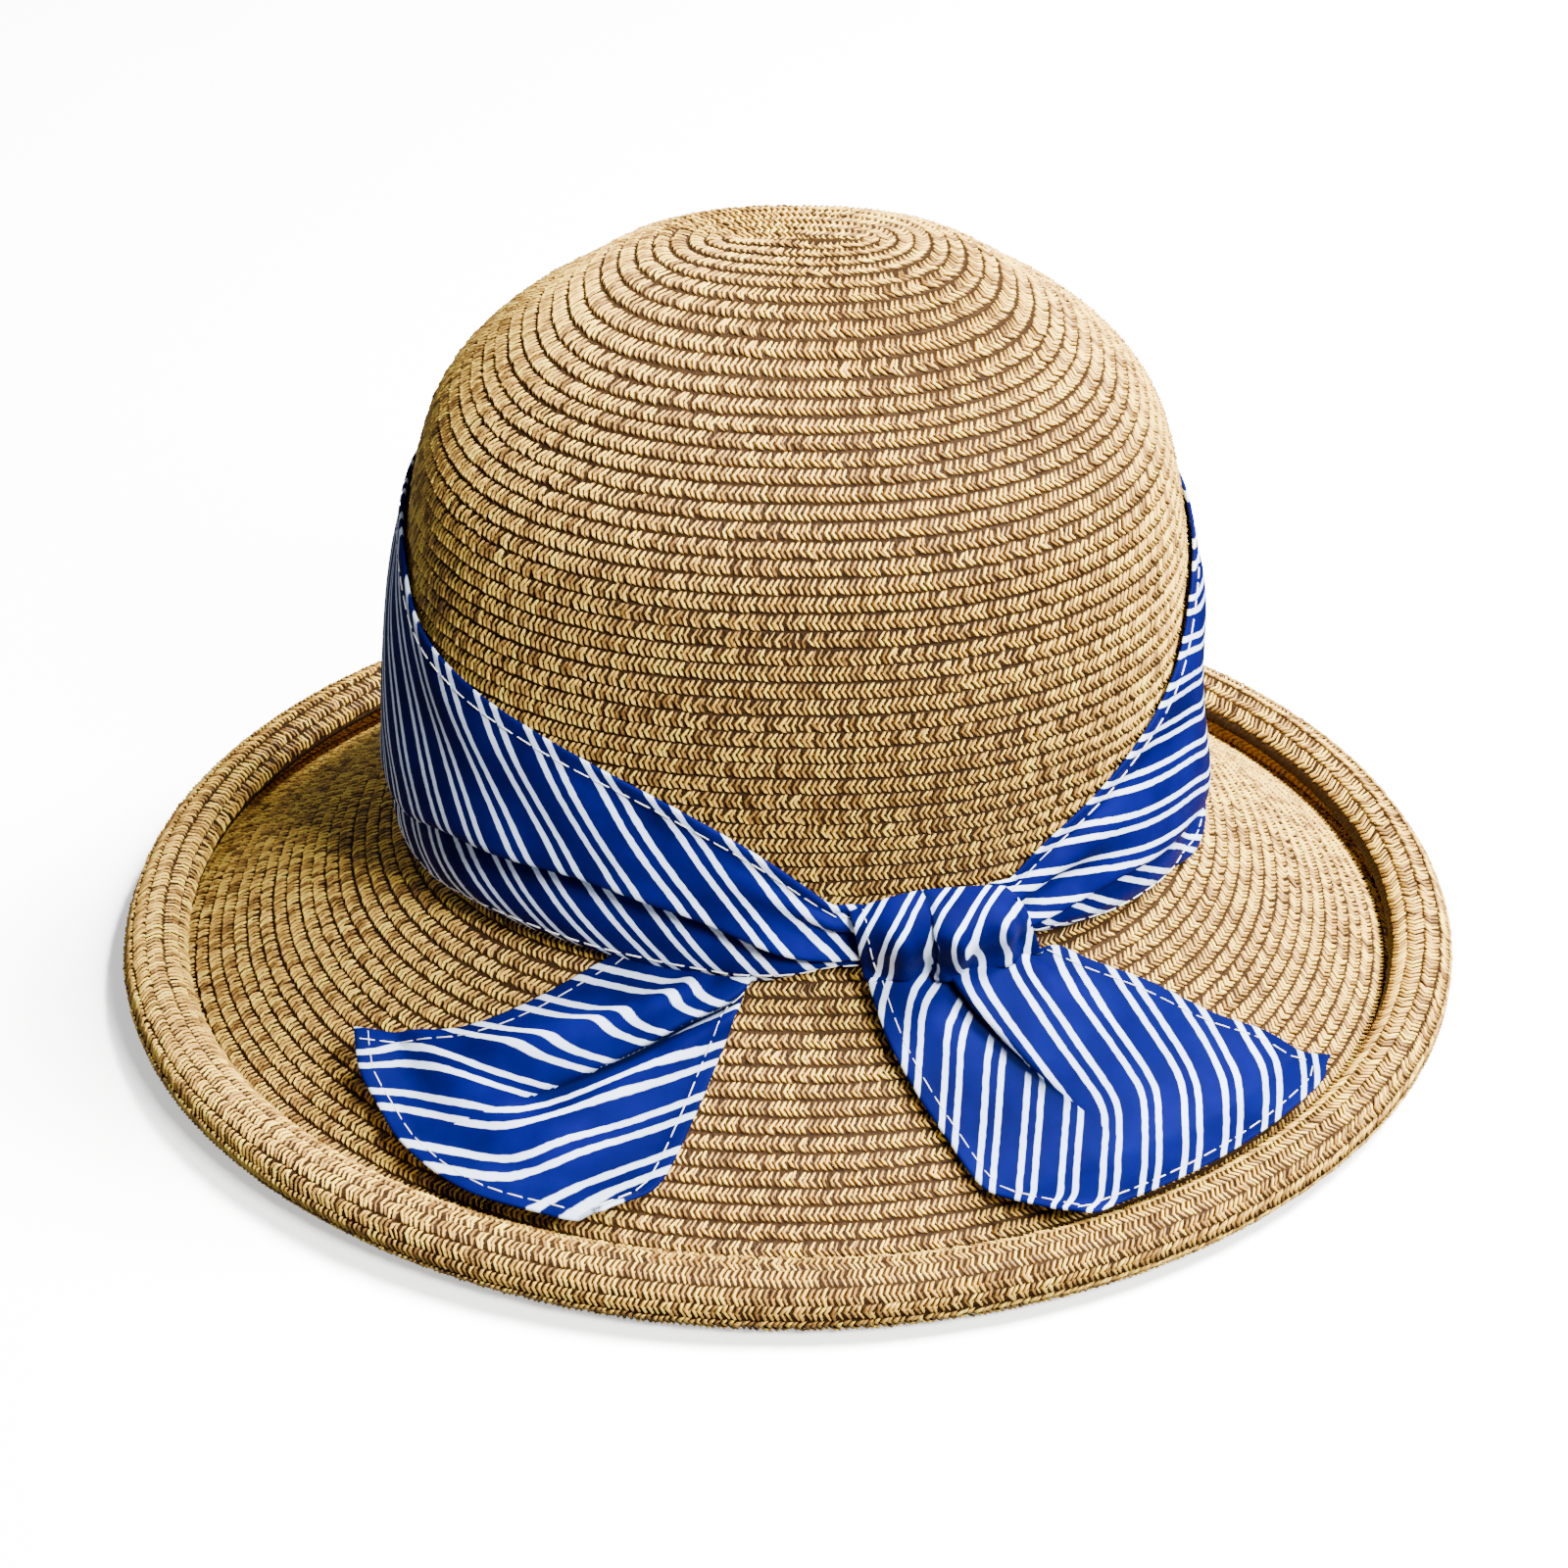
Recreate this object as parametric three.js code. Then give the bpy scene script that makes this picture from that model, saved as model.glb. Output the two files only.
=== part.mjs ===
// A straw hat sewn from one spiral of braid, with a deep oval crown, a sloping brim and an edge
// rolled up and in, and a striped scarf tied round the crown with its knot at the side.
// Millimetres, +Z up. The origin is on the floor under the middle of the crown's mouth, +X runs
// along the oval from back to front of the head, and the knot is on the -Y side.

import * as THREE from 'three';

// Driving dimensions of the straw
const strawWall = 2;
const crownLength = 194.8; // outside, along X at the widest row
const ovalStretch = 14; // half of the straight start that the braid is wound round
const crownRise = 144; // from the brim's seam to the tip
const brimLength = 344.6; // outside, along X
const brimSlope = 36; // degrees below level
const shoulderRadius = 7; // where the crown's wall turns into the brim
const rollDiameter = 17.5;
const rollEnd = 172; // degrees round the roll, from its outer side, where the curled edge ends
const restAngle = 11; // half of the angle of the flat strip that the roll rests on
const seamGap = 0.3; // between the last row of the crown and the first of the brim

// How far the crown sits to +X of the brim's middle, and the start of the braid behind its own
const crownShift = 2.4;
const tipBack = 17;
const tipBackFrom = 0.62; // shares of the half-width between which the rows move back
const tipBackTo = 0.2;

// Driving dimensions of the scarf
const scarfWidth = 95;
const clothWall = 1.2;
const clothGap = 0.8; // between the cloth and the straw where it lies closest
const pieceGap = 0.4; // between two pieces of the scarf
const pleatDepth = 5.5; // how far the lower pleat of the band stands out
const knotDepth = 11;
const knotHeight = 22;
const tailLift = 3; // how far a scarf end stands off the brim in its raised places
const foldDepth = 3;

// Fineness of the solids
const turns = 64;
const crownRings = 14;
const brimRings = 4;
const shoulderRings = 3;
const rollStep = 24.8; // degrees between two rings of the roll

const radians = THREE.MathUtils.degToRad;
const mix = THREE.MathUtils.lerp;

// The crown's outline from the seam up: reach is a share of the half-width, rise of the height
const crownOutline = [
  { reach: 0.983, rise: 0 },
  { reach: 0.995, rise: 0.192 },
  { reach: 1.0, rise: 0.394 },
  { reach: 0.975, rise: 0.544 },
  { reach: 0.933, rise: 0.67 },
  { reach: 0.89, rise: 0.733 },
  { reach: 0.825, rise: 0.789 },
  { reach: 0.74, rise: 0.842 },
  { reach: 0.64, rise: 0.893 },
  { reach: 0.53, rise: 0.934 },
  { reach: 0.41, rise: 0.966 },
  { reach: 0.28, rise: 0.986 },
  { reach: 0.15, rise: 0.997 },
  { reach: 0.02, rise: 1 },
];

// How square the rows are: 2 is an ellipse
const squareness = { rim: 2.0, seam: 2.3, crown: 2.35 };
const squareBy = 0.375; // share of the crown's rise where its rows reach the squareness of the crown
const smallestRow = 0.3; // half-width of the first turn of the braid

// Soft dents of the brim's edge: where each is, how wide, and its pull as a share of the brim
const brimDents = [
  { turn: -128, spread: 50, pull: -0.01 },
  { turn: -90, spread: 60, pull: 0.025 },
  { turn: 38, spread: 45, pull: -0.03 },
  { turn: 140, spread: 45, pull: -0.015 },
];

// The scarf round the crown: low and top are how far its edges are up from the brim's seam, or
// out along the brim if negative, as shares of the scarf's width; pleat is a share of pleatDepth
const bandRows = [
  { turn: -84.4, low: 0.02, top: 0.2, pleat: 0.35 },
  { turn: -95, low: -0.05, top: 0.34, pleat: 0.55 },
  { turn: -107, low: -0.03, top: 0.465, pleat: 0.75 },
  { turn: -119, low: 0.0, top: 0.56, pleat: 0.85 },
  { turn: -131, low: 0.015, top: 0.63, pleat: 0.9 },
  { turn: -144, low: 0.01, top: 0.685, pleat: 0.95 },
  { turn: -157, low: -0.04, top: 0.74, pleat: 1 },
  { turn: -168, low: -0.08, top: 0.84, pleat: 1 },
  { turn: -185, low: -0.11, top: 0.87, pleat: 0.9 },
  { turn: -225, low: -0.1, top: 0.84, pleat: 0.75 },
  { turn: -270, low: -0.09, top: 0.82, pleat: 0.7 },
  { turn: -315, low: -0.11, top: 0.82, pleat: 0.8 },
  { turn: -350, low: -0.14, top: 0.81, pleat: 0.95 },
  { turn: -373, low: -0.12, top: 0.75, pleat: 1 },
  { turn: -384, low: -0.06, top: 0.6, pleat: 0.9 },
  { turn: -400, low: 0.0, top: 0.42, pleat: 0.7 },
  { turn: -411, low: 0.03, top: 0.3, pleat: 0.5 },
  { turn: -416.1, low: 0.035, top: 0.22, pleat: 0.35 },
];

// The section of the band from its low edge to its top edge: lift is a share of the pleat
const bandSection = [
  { across: 0, lift: 0.1 },
  { across: 0.1, lift: 0.8 },
  { across: 0.26, lift: 1 },
  { across: 0.4, lift: 0.3 },
  { across: 0.56, lift: 0.55 },
  { across: 0.8, lift: 0.25 },
  { across: 1, lift: 0 },
];

// The knot from its left end to its right: low and top are shares of knotHeight above the seam,
// swell is a share of knotDepth
const knotRows = [
  { along: 0, low: 0.12, top: 0.8, swell: 0.25 },
  { along: 0.12, low: 0.1, top: 0.86, swell: 0.6 },
  { along: 0.3, low: 0.08, top: 0.95, swell: 0.9 },
  { along: 0.5, low: 0.08, top: 1.0, swell: 1 },
  { along: 0.7, low: 0.08, top: 0.97, swell: 0.85 },
  { along: 0.88, low: 0.1, top: 0.93, swell: 0.55 },
  { along: 1, low: 0.13, top: 0.86, swell: 0.25 },
];
const knotColumns = 6;

// The scarf's ends from the knot to the hem: the turn of each side, and out as a share of the
// way from the knot or band to the rolled edge; bow pushes the row's middle out
const rightTailRows = [
  { leftTurn: -80, leftOut: 0, rightTurn: -57.5, rightOut: 0, bow: 0, lift: 0.3, fold: 0.2 },
  { leftTurn: -79, leftOut: 0.14, rightTurn: -52, rightOut: 0.06, bow: 0, lift: 0.8, fold: 0.5 },
  { leftTurn: -77.5, leftOut: 0.31, rightTurn: -46.5, rightOut: 0.19, bow: 0, lift: 1, fold: 0.8 },
  { leftTurn: -75, leftOut: 0.5, rightTurn: -40, rightOut: 0.36, bow: 0.02, lift: 0.8, fold: 1 },
  { leftTurn: -72.5, leftOut: 0.67, rightTurn: -35.5, rightOut: 0.55, bow: 0.03, lift: 0.6, fold: 1 },
  { leftTurn: -70, leftOut: 0.84, rightTurn: -31, rightOut: 0.77, bow: 0.03, lift: 0.6, fold: 0.9 },
  { leftTurn: -64.5, leftOut: 1, rightTurn: -27.5, rightOut: 0.97, bow: 0, lift: 0.8, fold: 0.7 },
];
const leftTailRows = [
  { leftTurn: -119, leftOut: 0, rightTurn: -97.5, rightOut: 0, bow: 0, lift: 0.3, fold: 0.1 },
  { leftTurn: -123.5, leftOut: 0.16, rightTurn: -98.5, rightOut: 0.14, bow: 0, lift: 0.5, fold: 0.4 },
  { leftTurn: -128.5, leftOut: 0.32, rightTurn: -100, rightOut: 0.32, bow: 0.02, lift: 0.6, fold: 0.8 },
  { leftTurn: -134, leftOut: 0.47, rightTurn: -101.5, rightOut: 0.52, bow: 0.04, lift: 0.5, fold: 1 },
  { leftTurn: -139.5, leftOut: 0.57, rightTurn: -103.2, rightOut: 0.73, bow: 0.07, lift: 0.5, fold: 1 },
  { leftTurn: -144, leftOut: 0.66, rightTurn: -105.8, rightOut: 0.91, bow: 0.12, lift: 0.9, fold: 0.8 },
];
const tailColumns = 9;
const rightTailFolds = 3;
const leftTailFolds = 2.5;

// The profile of the straw's middle surface. Radii here are r in a row's half-axes (stretch + r, r).
const slope = radians(brimSlope);
const midWidth = crownLength / 2 - ovalStretch - strawWall / 2;
const wallRadius = midWidth * crownOutline[0].reach;
const rollRadius = (rollDiameter - strawWall) / 2;
const rollCentre = {
  r: brimLength / 2 - ovalStretch - rollDiameter / 2,
  z: (rollDiameter / 2) * Math.cos(radians(restAngle)),
};
const rollStart = -90 - brimSlope;
const brimFoot = around(rollCentre, rollRadius, rollStart);
const shoulderEnd = {
  r: wallRadius + shoulderRadius * (1 - Math.sin(slope)),
  z: brimFoot.z + (brimFoot.r - wallRadius - shoulderRadius * (1 - Math.sin(slope))) * Math.tan(slope),
};
const seamHeight = shoulderEnd.z + shoulderRadius * Math.cos(slope);
const shoulderRun = shoulderRadius * (Math.PI / 2 - slope);
const brimRun = (brimFoot.r - shoulderEnd.r) / Math.cos(slope);
const brimReach = rollCentre.r - wallRadius;
const crownCurve = new THREE.SplineCurve(
  crownOutline.map(
    (row) =>
      new THREE.Vector2(
        row.reach * midWidth,
        seamHeight + row.rise * (crownRise - strawWall / 2),
      ),
  ),
);
crownCurve.arcLengthDivisions = 400;
const crownRun = crownCurve.getLength();

function around(centre, radius, angle) {
  return {
    r: centre.r + radius * Math.cos(radians(angle)),
    z: centre.z + radius * Math.sin(radians(angle)),
  };
}

// A point of the middle surface and its outward normal, at a run up from the seam along the
// crown, or out along the brim if the run is negative
function profileAt(run) {
  if (run >= 0) {
    const share = Math.min(run / crownRun, 1);
    const point = crownCurve.getPointAt(share);
    const tangent = crownCurve.getTangentAt(share);
    return { r: point.x, z: point.y, nr: tangent.y, nz: -tangent.x };
  }
  const out = -run;
  if (out < shoulderRun) {
    const turn = out / shoulderRadius;
    return {
      r: wallRadius + shoulderRadius * (1 - Math.cos(turn)),
      z: seamHeight - shoulderRadius * Math.sin(turn),
      nr: Math.cos(turn),
      nz: Math.sin(turn),
    };
  }
  return {
    r: shoulderEnd.r + (out - shoulderRun) * Math.cos(slope),
    z: shoulderEnd.z - (out - shoulderRun) * Math.sin(slope),
    nr: Math.sin(slope),
    nz: Math.cos(slope),
  };
}

// The profile point that lies a given height off the straw's outer face
function lifted(run, height) {
  const at = profileAt(run);
  const off = strawWall / 2 + height;
  return { r: at.r + at.nr * off, z: at.z + at.nz * off };
}

// How far the brim's edge is pulled in or out at a turn, from the soft dents
function edgePull(turn) {
  let pull = 0;
  for (const dent of brimDents) {
    const away = Math.abs(THREE.MathUtils.euclideanModulo(turn - dent.turn + 180, 360) - 180);
    if (away < dent.spread) {
      pull += 0.5 * dent.pull * brimReach * (1 + Math.cos((Math.PI * away) / dent.spread));
    }
  }
  return pull;
}

// A profile point carried to its place on the oval row at a turn about the crown
function place(point, turn) {
  const outward = THREE.MathUtils.smoothstep(point.r, wallRadius + shoulderRadius, brimFoot.r);
  const r = Math.max(point.r + outward * edgePull(turn), 0);
  const rise = THREE.MathUtils.clamp((point.z - seamHeight) / crownRise, 0, 1);
  const square =
    point.z > seamHeight
      ? mix(squareness.seam, squareness.crown, Math.min(rise / squareBy, 1))
      : mix(squareness.rim, squareness.seam, point.z / seamHeight);
  const across = Math.cos(radians(turn));
  const along = Math.sin(radians(turn));
  const size =
    ((Math.abs(across) / (ovalStretch + r)) ** square +
      (Math.abs(along) / Math.max(r, smallestRow)) ** square) **
    (-1 / square);
  const back = 1 - THREE.MathUtils.smoothstep(r, tipBackTo * midWidth, tipBackFrom * midWidth);
  return new THREE.Vector3(
    crownShift * Math.min(point.z / seamHeight, 1) + size * across,
    tipBack * back + size * along,
    point.z,
  );
}

// A geometry from points and triangles, turned right side out if its volume is negative
function solid(points, triangles) {
  let volume = 0;
  for (const [a, b, c] of triangles) {
    volume += points[a].dot(new THREE.Vector3().crossVectors(points[b], points[c]));
  }
  const order = volume < 0 ? triangles.map(([a, b, c]) => [a, c, b]) : triangles;
  const geometry = new THREE.BufferGeometry().setFromPoints(points);
  geometry.setIndex(order.flat());
  geometry.computeVertexNormals();
  return geometry;
}

// Triangles of the strip between two rows of a grid that starts at a given point
function strip(triangles, low, high, count, closed) {
  const steps = closed ? count : count - 1;
  for (let i = 0; i < steps; i += 1) {
    const next = (i + 1) % count;
    triangles.push([low + i, low + next, high + next], [low + i, high + next, high + i]);
  }
}

// Rings of straw carried round the crown. A loop closes on itself; otherwise the ring before
// each pole is closed with a fan.
function ringSolid(profile, poles) {
  const points = [];
  const triangles = [];
  for (const point of profile) {
    for (let i = 0; i < turns; i += 1) {
      points.push(place(point, (360 / turns) * i));
    }
  }
  for (let row = 0; row < profile.length; row += 1) {
    const next = (row + 1) % profile.length;
    if (!poles || row !== poles.after) {
      strip(triangles, row * turns, next * turns, turns, true);
    }
  }
  if (poles) {
    for (const [row, side] of [
      [poles.after, 1],
      [poles.after + 1, -1],
    ]) {
      const middle = new THREE.Vector3();
      for (let i = 0; i < turns; i += 1) {
        middle.addScaledVector(points[row * turns + i], 1 / turns);
      }
      points.push(middle);
      for (let i = 0; i < turns; i += 1) {
        const fan = [row * turns + i, row * turns + ((i + 1) % turns), points.length - 1];
        triangles.push(side > 0 ? fan : [fan[1], fan[0], fan[2]]);
      }
    }
  }
  return solid(points, triangles);
}

// A sheet from rows of columns: each cell holds its inner and its outer point
function sheetSolid(cells) {
  const points = [];
  const triangles = [];
  const columns = cells[0].length;
  const ring = columns * 2;
  for (const row of cells) {
    for (const cell of row) points.push(cell.outer);
    for (const cell of [...row].reverse()) points.push(cell.inner);
  }
  for (let row = 0; row + 1 < cells.length; row += 1) {
    strip(triangles, row * ring, (row + 1) * ring, ring, true);
  }
  const last = (cells.length - 1) * ring;
  for (let i = 0; i + 1 < columns; i += 1) {
    const facing = ring - 1 - i;
    triangles.push([i + 1, i, facing], [i + 1, facing, facing - 1]);
    triangles.push([last + i, last + i + 1, last + facing]);
    triangles.push([last + i + 1, last + facing - 1, last + facing]);
  }
  return solid(points, triangles);
}

// The cell of a sheet that lies a given height off the straw
function cell(turn, run, height, thickness) {
  return {
    inner: place(lifted(run, clothGap + height), turn),
    outer: place(lifted(run, clothGap + height + thickness), turn),
  };
}

// The value of a column of a table at a place between its rows, eased so that it bends smoothly
function tableAt(rows, key, column, at) {
  const climbing = rows[rows.length - 1][key] > rows[0][key];
  let i = rows.findIndex((row) => (climbing ? row[key] > at : row[key] < at));
  i = i < 0 ? rows.length - 1 : Math.max(i, 1);
  const share = THREE.MathUtils.clamp((at - rows[i - 1][key]) / (rows[i][key] - rows[i - 1][key]), 0, 1);
  const before = rows[Math.max(i - 2, 0)];
  const after = rows[Math.min(i + 1, rows.length - 1)];
  const reach = rows[i][key] - rows[i - 1][key];
  const leave = ((rows[i][column] - before[column]) / (rows[i][key] - before[key])) * reach;
  const arrive = ((after[column] - rows[i - 1][column]) / (after[key] - rows[i - 1][key])) * reach;
  const back = share - 1;
  return (
    rows[i - 1][column] * (1 + 2 * share) * back * back +
    leave * share * back * back +
    rows[i][column] * share * share * (3 - 2 * share) +
    arrive * share * share * back
  );
}

function makeCrown() {
  const outer = [];
  const inner = [];
  const start = seamGap / 2;
  for (let i = 0; i < crownRings; i += 1) {
    const at = profileAt(mix(start, crownRun, i / (crownRings - 1)));
    const half = strawWall / 2;
    outer.push({ r: at.r + at.nr * half, z: at.z + at.nz * half });
    inner.unshift({ r: Math.max(at.r - at.nr * half, smallestRow), z: at.z - at.nz * half });
  }
  return ringSolid([...outer, ...inner], { after: crownRings - 1 });
}

function makeBrim() {
  const middle = [];
  for (let i = 0; i < shoulderRings; i += 1) {
    middle.push(profileAt(-mix(seamGap / 2, shoulderRun, i / shoulderRings)));
  }
  for (let i = 0; i < brimRings; i += 1) {
    middle.push(profileAt(-shoulderRun - (brimRun * i) / brimRings));
  }
  const half = strawWall / 2;
  const upper = middle.map((at) => ({ r: at.r + at.nr * half, z: at.z + at.nz * half }));
  const lower = middle.map((at) => ({ r: at.r - at.nr * half, z: at.z - at.nz * half }));
  const stripEnd = -90 + restAngle;
  const angles = [rollStart, -90 - restAngle, stripEnd];
  const steps = Math.round((rollEnd - stripEnd) / rollStep);
  for (let i = 1; i <= steps; i += 1) angles.push(mix(stripEnd, rollEnd, i / steps));
  for (const angle of angles) {
    upper.push(around(rollCentre, rollDiameter / 2 - strawWall, angle));
    lower.push(around(rollCentre, rollDiameter / 2, angle));
  }
  return ringSolid([...upper, ...lower.reverse()]);
}

function bandLow(turn) {
  return tableAt(bandRows, 'turn', 'low', turn) * scarfWidth;
}

function makeBand() {
  const step = 360 / turns;
  const first = Math.round(bandRows[0].turn / step);
  const last = Math.round(bandRows[bandRows.length - 1].turn / step);
  const cells = [];
  for (let i = first; i >= last; i -= 1) {
    const turn = i * step;
    const low = bandLow(turn);
    const top = tableAt(bandRows, 'turn', 'top', turn) * scarfWidth;
    const pleat = tableAt(bandRows, 'turn', 'pleat', turn) * pleatDepth;
    cells.push(
      bandSection.map((at) => cell(turn, mix(low, top, at.across), at.lift * pleat, clothWall)),
    );
  }
  return sheetSolid(cells);
}

// The turns between which the knot lies, clear of the band's two ends
function knotSpan() {
  const step = 360 / turns;
  const clear = THREE.MathUtils.radToDeg(pieceGap / wallRadius);
  const left = Math.round(bandRows[0].turn / step) * step;
  const right = Math.round(bandRows[bandRows.length - 1].turn / step) * step + 360;
  return { left: left + clear, right: right - clear };
}

function knotLow(turn) {
  const span = knotSpan();
  const along = (turn - span.left) / (span.right - span.left);
  return tableAt(knotRows, 'along', 'low', along) * knotHeight;
}

function makeKnot() {
  const span = knotSpan();
  const cells = knotRows.map((row) => {
    const turn = mix(span.left, span.right, row.along);
    const cellsAcross = [];
    for (let i = 0; i <= knotColumns; i += 1) {
      const round = 0.5 - 0.5 * Math.cos((Math.PI * i) / knotColumns);
      const run = mix(row.low, row.top, round) * knotHeight;
      const swell = row.swell * knotDepth * Math.sin((Math.PI * i) / knotColumns);
      cellsAcross.push(cell(turn, run, 0, clothWall + swell));
    }
    return cellsAcross;
  });
  return sheetSolid(cells);
}

// The furthest run out along the brim that cloth of a given height keeps clear of the roll
function hemRun(height) {
  const stop = rollCentre.r - rollDiameter / 2 - pieceGap;
  const lean = Math.sin(slope) * (strawWall / 2 + clothGap + height + clothWall);
  return shoulderRun + (stop - lean - shoulderEnd.r) / Math.cos(slope);
}

function makeTail(rows, folds, startRun) {
  const furthest = hemRun(tailLift + foldDepth);
  const cells = rows.map((row) => {
    const across = [];
    for (let i = 0; i < tailColumns; i += 1) {
      const share = i / (tailColumns - 1);
      const turn = mix(row.leftTurn, row.rightTurn, share);
      const out = Math.min(mix(row.leftOut, row.rightOut, share) + row.bow * 4 * share * (1 - share), 1);
      const run = mix(startRun(turn) - pieceGap, -furthest, out);
      const fold = row.fold * foldDepth * (0.5 - 0.5 * Math.cos(2 * Math.PI * folds * share));
      across.push(cell(turn, run, row.lift * tailLift + fold, clothWall));
    }
    return across;
  });
  return sheetSolid(cells);
}

const straw = new THREE.MeshStandardMaterial({ color: 0xc49a5c, roughness: 0.75, metalness: 0 });
const cloth = new THREE.MeshStandardMaterial({ color: 0x2440a8, roughness: 0.55, metalness: 0 });

const hat = new THREE.Group();
for (const [name, geometry, material] of [
  ['crown', makeCrown(), straw],
  ['brim', makeBrim(), straw],
  ['scarf_band', makeBand(), cloth],
  ['scarf_knot', makeKnot(), cloth],
  ['scarf_tail_right', makeTail(rightTailRows, rightTailFolds, knotLow), cloth],
  ['scarf_tail_left', makeTail(leftTailRows, leftTailFolds, bandLow), cloth],
]) {
  const mesh = new THREE.Mesh(geometry, material);
  mesh.name = name;
  hat.add(mesh);
}

export default hat;
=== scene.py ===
# %% [markdown]
# # A straw hat with a tied scarf
#
# The hat is sewn from one long straw braid. The sewing starts at the top of the crown, goes round and
# round in an oval, opens out to the brim and ends in an edge that is rolled up and in. A striped scarf
# runs round the crown, and its two ends lie on the brim beside the knot.
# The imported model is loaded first, because every piece below has to sit where its solid sits.

import bpy
import numpy as np
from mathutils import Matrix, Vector


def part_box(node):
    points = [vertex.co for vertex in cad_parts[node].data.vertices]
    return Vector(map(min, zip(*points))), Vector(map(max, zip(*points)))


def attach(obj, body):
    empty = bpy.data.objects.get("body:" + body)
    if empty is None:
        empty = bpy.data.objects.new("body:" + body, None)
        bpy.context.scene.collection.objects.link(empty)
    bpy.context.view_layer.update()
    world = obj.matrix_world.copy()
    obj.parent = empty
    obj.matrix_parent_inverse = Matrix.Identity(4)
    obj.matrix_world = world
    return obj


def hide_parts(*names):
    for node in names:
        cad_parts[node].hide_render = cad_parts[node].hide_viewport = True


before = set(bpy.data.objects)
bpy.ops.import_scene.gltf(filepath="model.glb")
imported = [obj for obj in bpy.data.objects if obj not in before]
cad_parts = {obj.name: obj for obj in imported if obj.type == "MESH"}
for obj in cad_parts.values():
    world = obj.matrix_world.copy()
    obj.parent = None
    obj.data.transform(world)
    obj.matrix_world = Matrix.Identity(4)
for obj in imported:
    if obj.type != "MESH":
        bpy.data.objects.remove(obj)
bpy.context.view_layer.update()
for node in sorted(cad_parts):
    low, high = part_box(node)
    print(node, [round(x * 1000, 1) for x in low], [round(x * 1000, 1) for x in high])

# %% [markdown]
# ## The camera
#
# The photograph looks down on the front of the hat by about a third of a right angle, from a little
# over a metre. A long lens keeps the oval of the brim as flat as it is there. The camera could be
# aimed with a constraint, but two numbers say the same: it looks along +Y, tipped down.

# %% Camera
MM = 0.001
CAMERA_DOWN = np.radians(33.7)
CAMERA_FAR = 1100.0
CAMERA_AIM = np.array([-0.6, 0.0, 49.7])
FOCAL_PIXELS = 4389.0
FRAME_PIXELS = 1600.0
SENSOR_WIDTH = 36.0

camera_data = bpy.data.cameras.new("camera")
camera_data.sensor_width = SENSOR_WIDTH
camera_data.lens = SENSOR_WIDTH * FOCAL_PIXELS / FRAME_PIXELS
camera = bpy.data.objects.new("camera", camera_data)
bpy.context.scene.collection.objects.link(camera)
back_from_aim = CAMERA_FAR * np.array([0.0, -np.cos(CAMERA_DOWN), np.sin(CAMERA_DOWN)])
camera.location = (CAMERA_AIM + back_from_aim) * MM
camera.rotation_euler = (np.pi / 2 - CAMERA_DOWN, 0.0, 0.0)
bpy.context.scene.camera = camera
print("camera lens", round(camera_data.lens, 2), "mm at", [round(x, 4) for x in camera.location])

# %% [markdown]
# ## The floor and the light
#
# The hat stands on a nearly white floor. One broad light from the right makes the soft shadow on the
# left, and a weaker one in front keeps the knot readable. A third falls on the paper alone: it makes
# it nearly white and leaves the hat its own shades. Area lights are used because their size sets how
# soft the shadow's edge is.

# %% Floor and lights
FLOOR_HALF = 6.0
LIGHTS_LOOK_AT = Vector((0.0, 0.0, 0.06))

floor_mesh = bpy.data.meshes.new("floor")
floor_corners = [(FLOOR_HALF * x, FLOOR_HALF * y, 0) for x, y in ((-1, -1), (1, -1), (1, 1), (-1, 1))]
floor_mesh.from_pydata(floor_corners, [], [(0, 1, 2, 3)])
floor = bpy.data.objects.new("floor", floor_mesh)
bpy.context.scene.collection.objects.link(floor)
# the bright paper throws no light back on the hat, which would lose its own shades
floor.visible_diffuse = False
floor.visible_glossy = False


def area_light(name, place, size, watts, tint):
    """A square light of a given size in metres, turned so that its face looks at the hat."""
    data = bpy.data.lights.new(name, "AREA")
    data.size = size
    data.energy = watts
    data.color = tint
    light = bpy.data.objects.new(name, data)
    bpy.context.scene.collection.objects.link(light)
    light.location = place
    light.rotation_euler = (Vector(place) - LIGHTS_LOOK_AT).to_track_quat("Z", "Y").to_euler()
    return light


area_light("key", (0.8, 0.0, 1.5), 0.45, 165.0, (1.0, 0.97, 0.92))
area_light("front", (0.74, -1.08, 1.25), 0.5, 116.0, (1.0, 0.98, 0.95))
paper_light = area_light("paper_light", (0.9, 0.2, 1.5), 0.6, 420.0, (1.0, 1.0, 1.0))
paper_only = bpy.data.collections.new("paper_only")
paper_only.objects.link(floor)
paper_light.light_linking.receiver_collection = paper_only
world = bpy.data.worlds.new("studio")
bpy.context.scene.world = world
world.use_nodes = True
sky = world.node_tree.nodes["Background"].inputs
sky["Color"].default_value = (0.93, 0.96, 1.0, 1.0)
sky["Strength"].default_value = 0.32

# %% [markdown]
# ## The straw's surface
#
# Crown, brim and roll are one wall, so one profile describes them: from the tip of the crown out and
# down the wall, over a small shoulder, down the sloping brim and round the roll. It could be drawn by
# hand and spun, but the hat is oval and a little squared, so every point of the profile is carried to
# its place on an oval row instead. All lengths here are in millimetres.

# %% Profile
WALL = 2.0
CROWN_LENGTH = 194.8
OVAL_STRETCH = 14.0
CROWN_RISE = 144.0
BRIM_LENGTH = 344.6
SLOPE = np.radians(36.0)
SHOULDER = 7.0
ROLL = 17.5
ROLL_END = 172.0
REST_ANGLE = np.radians(11.0)
CROWN_SHIFT = 2.4
TIP_BACK = 17.0
TIP_BACK_SHARES = (0.2, 0.62)
SEAM_GAP = 0.3

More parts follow.
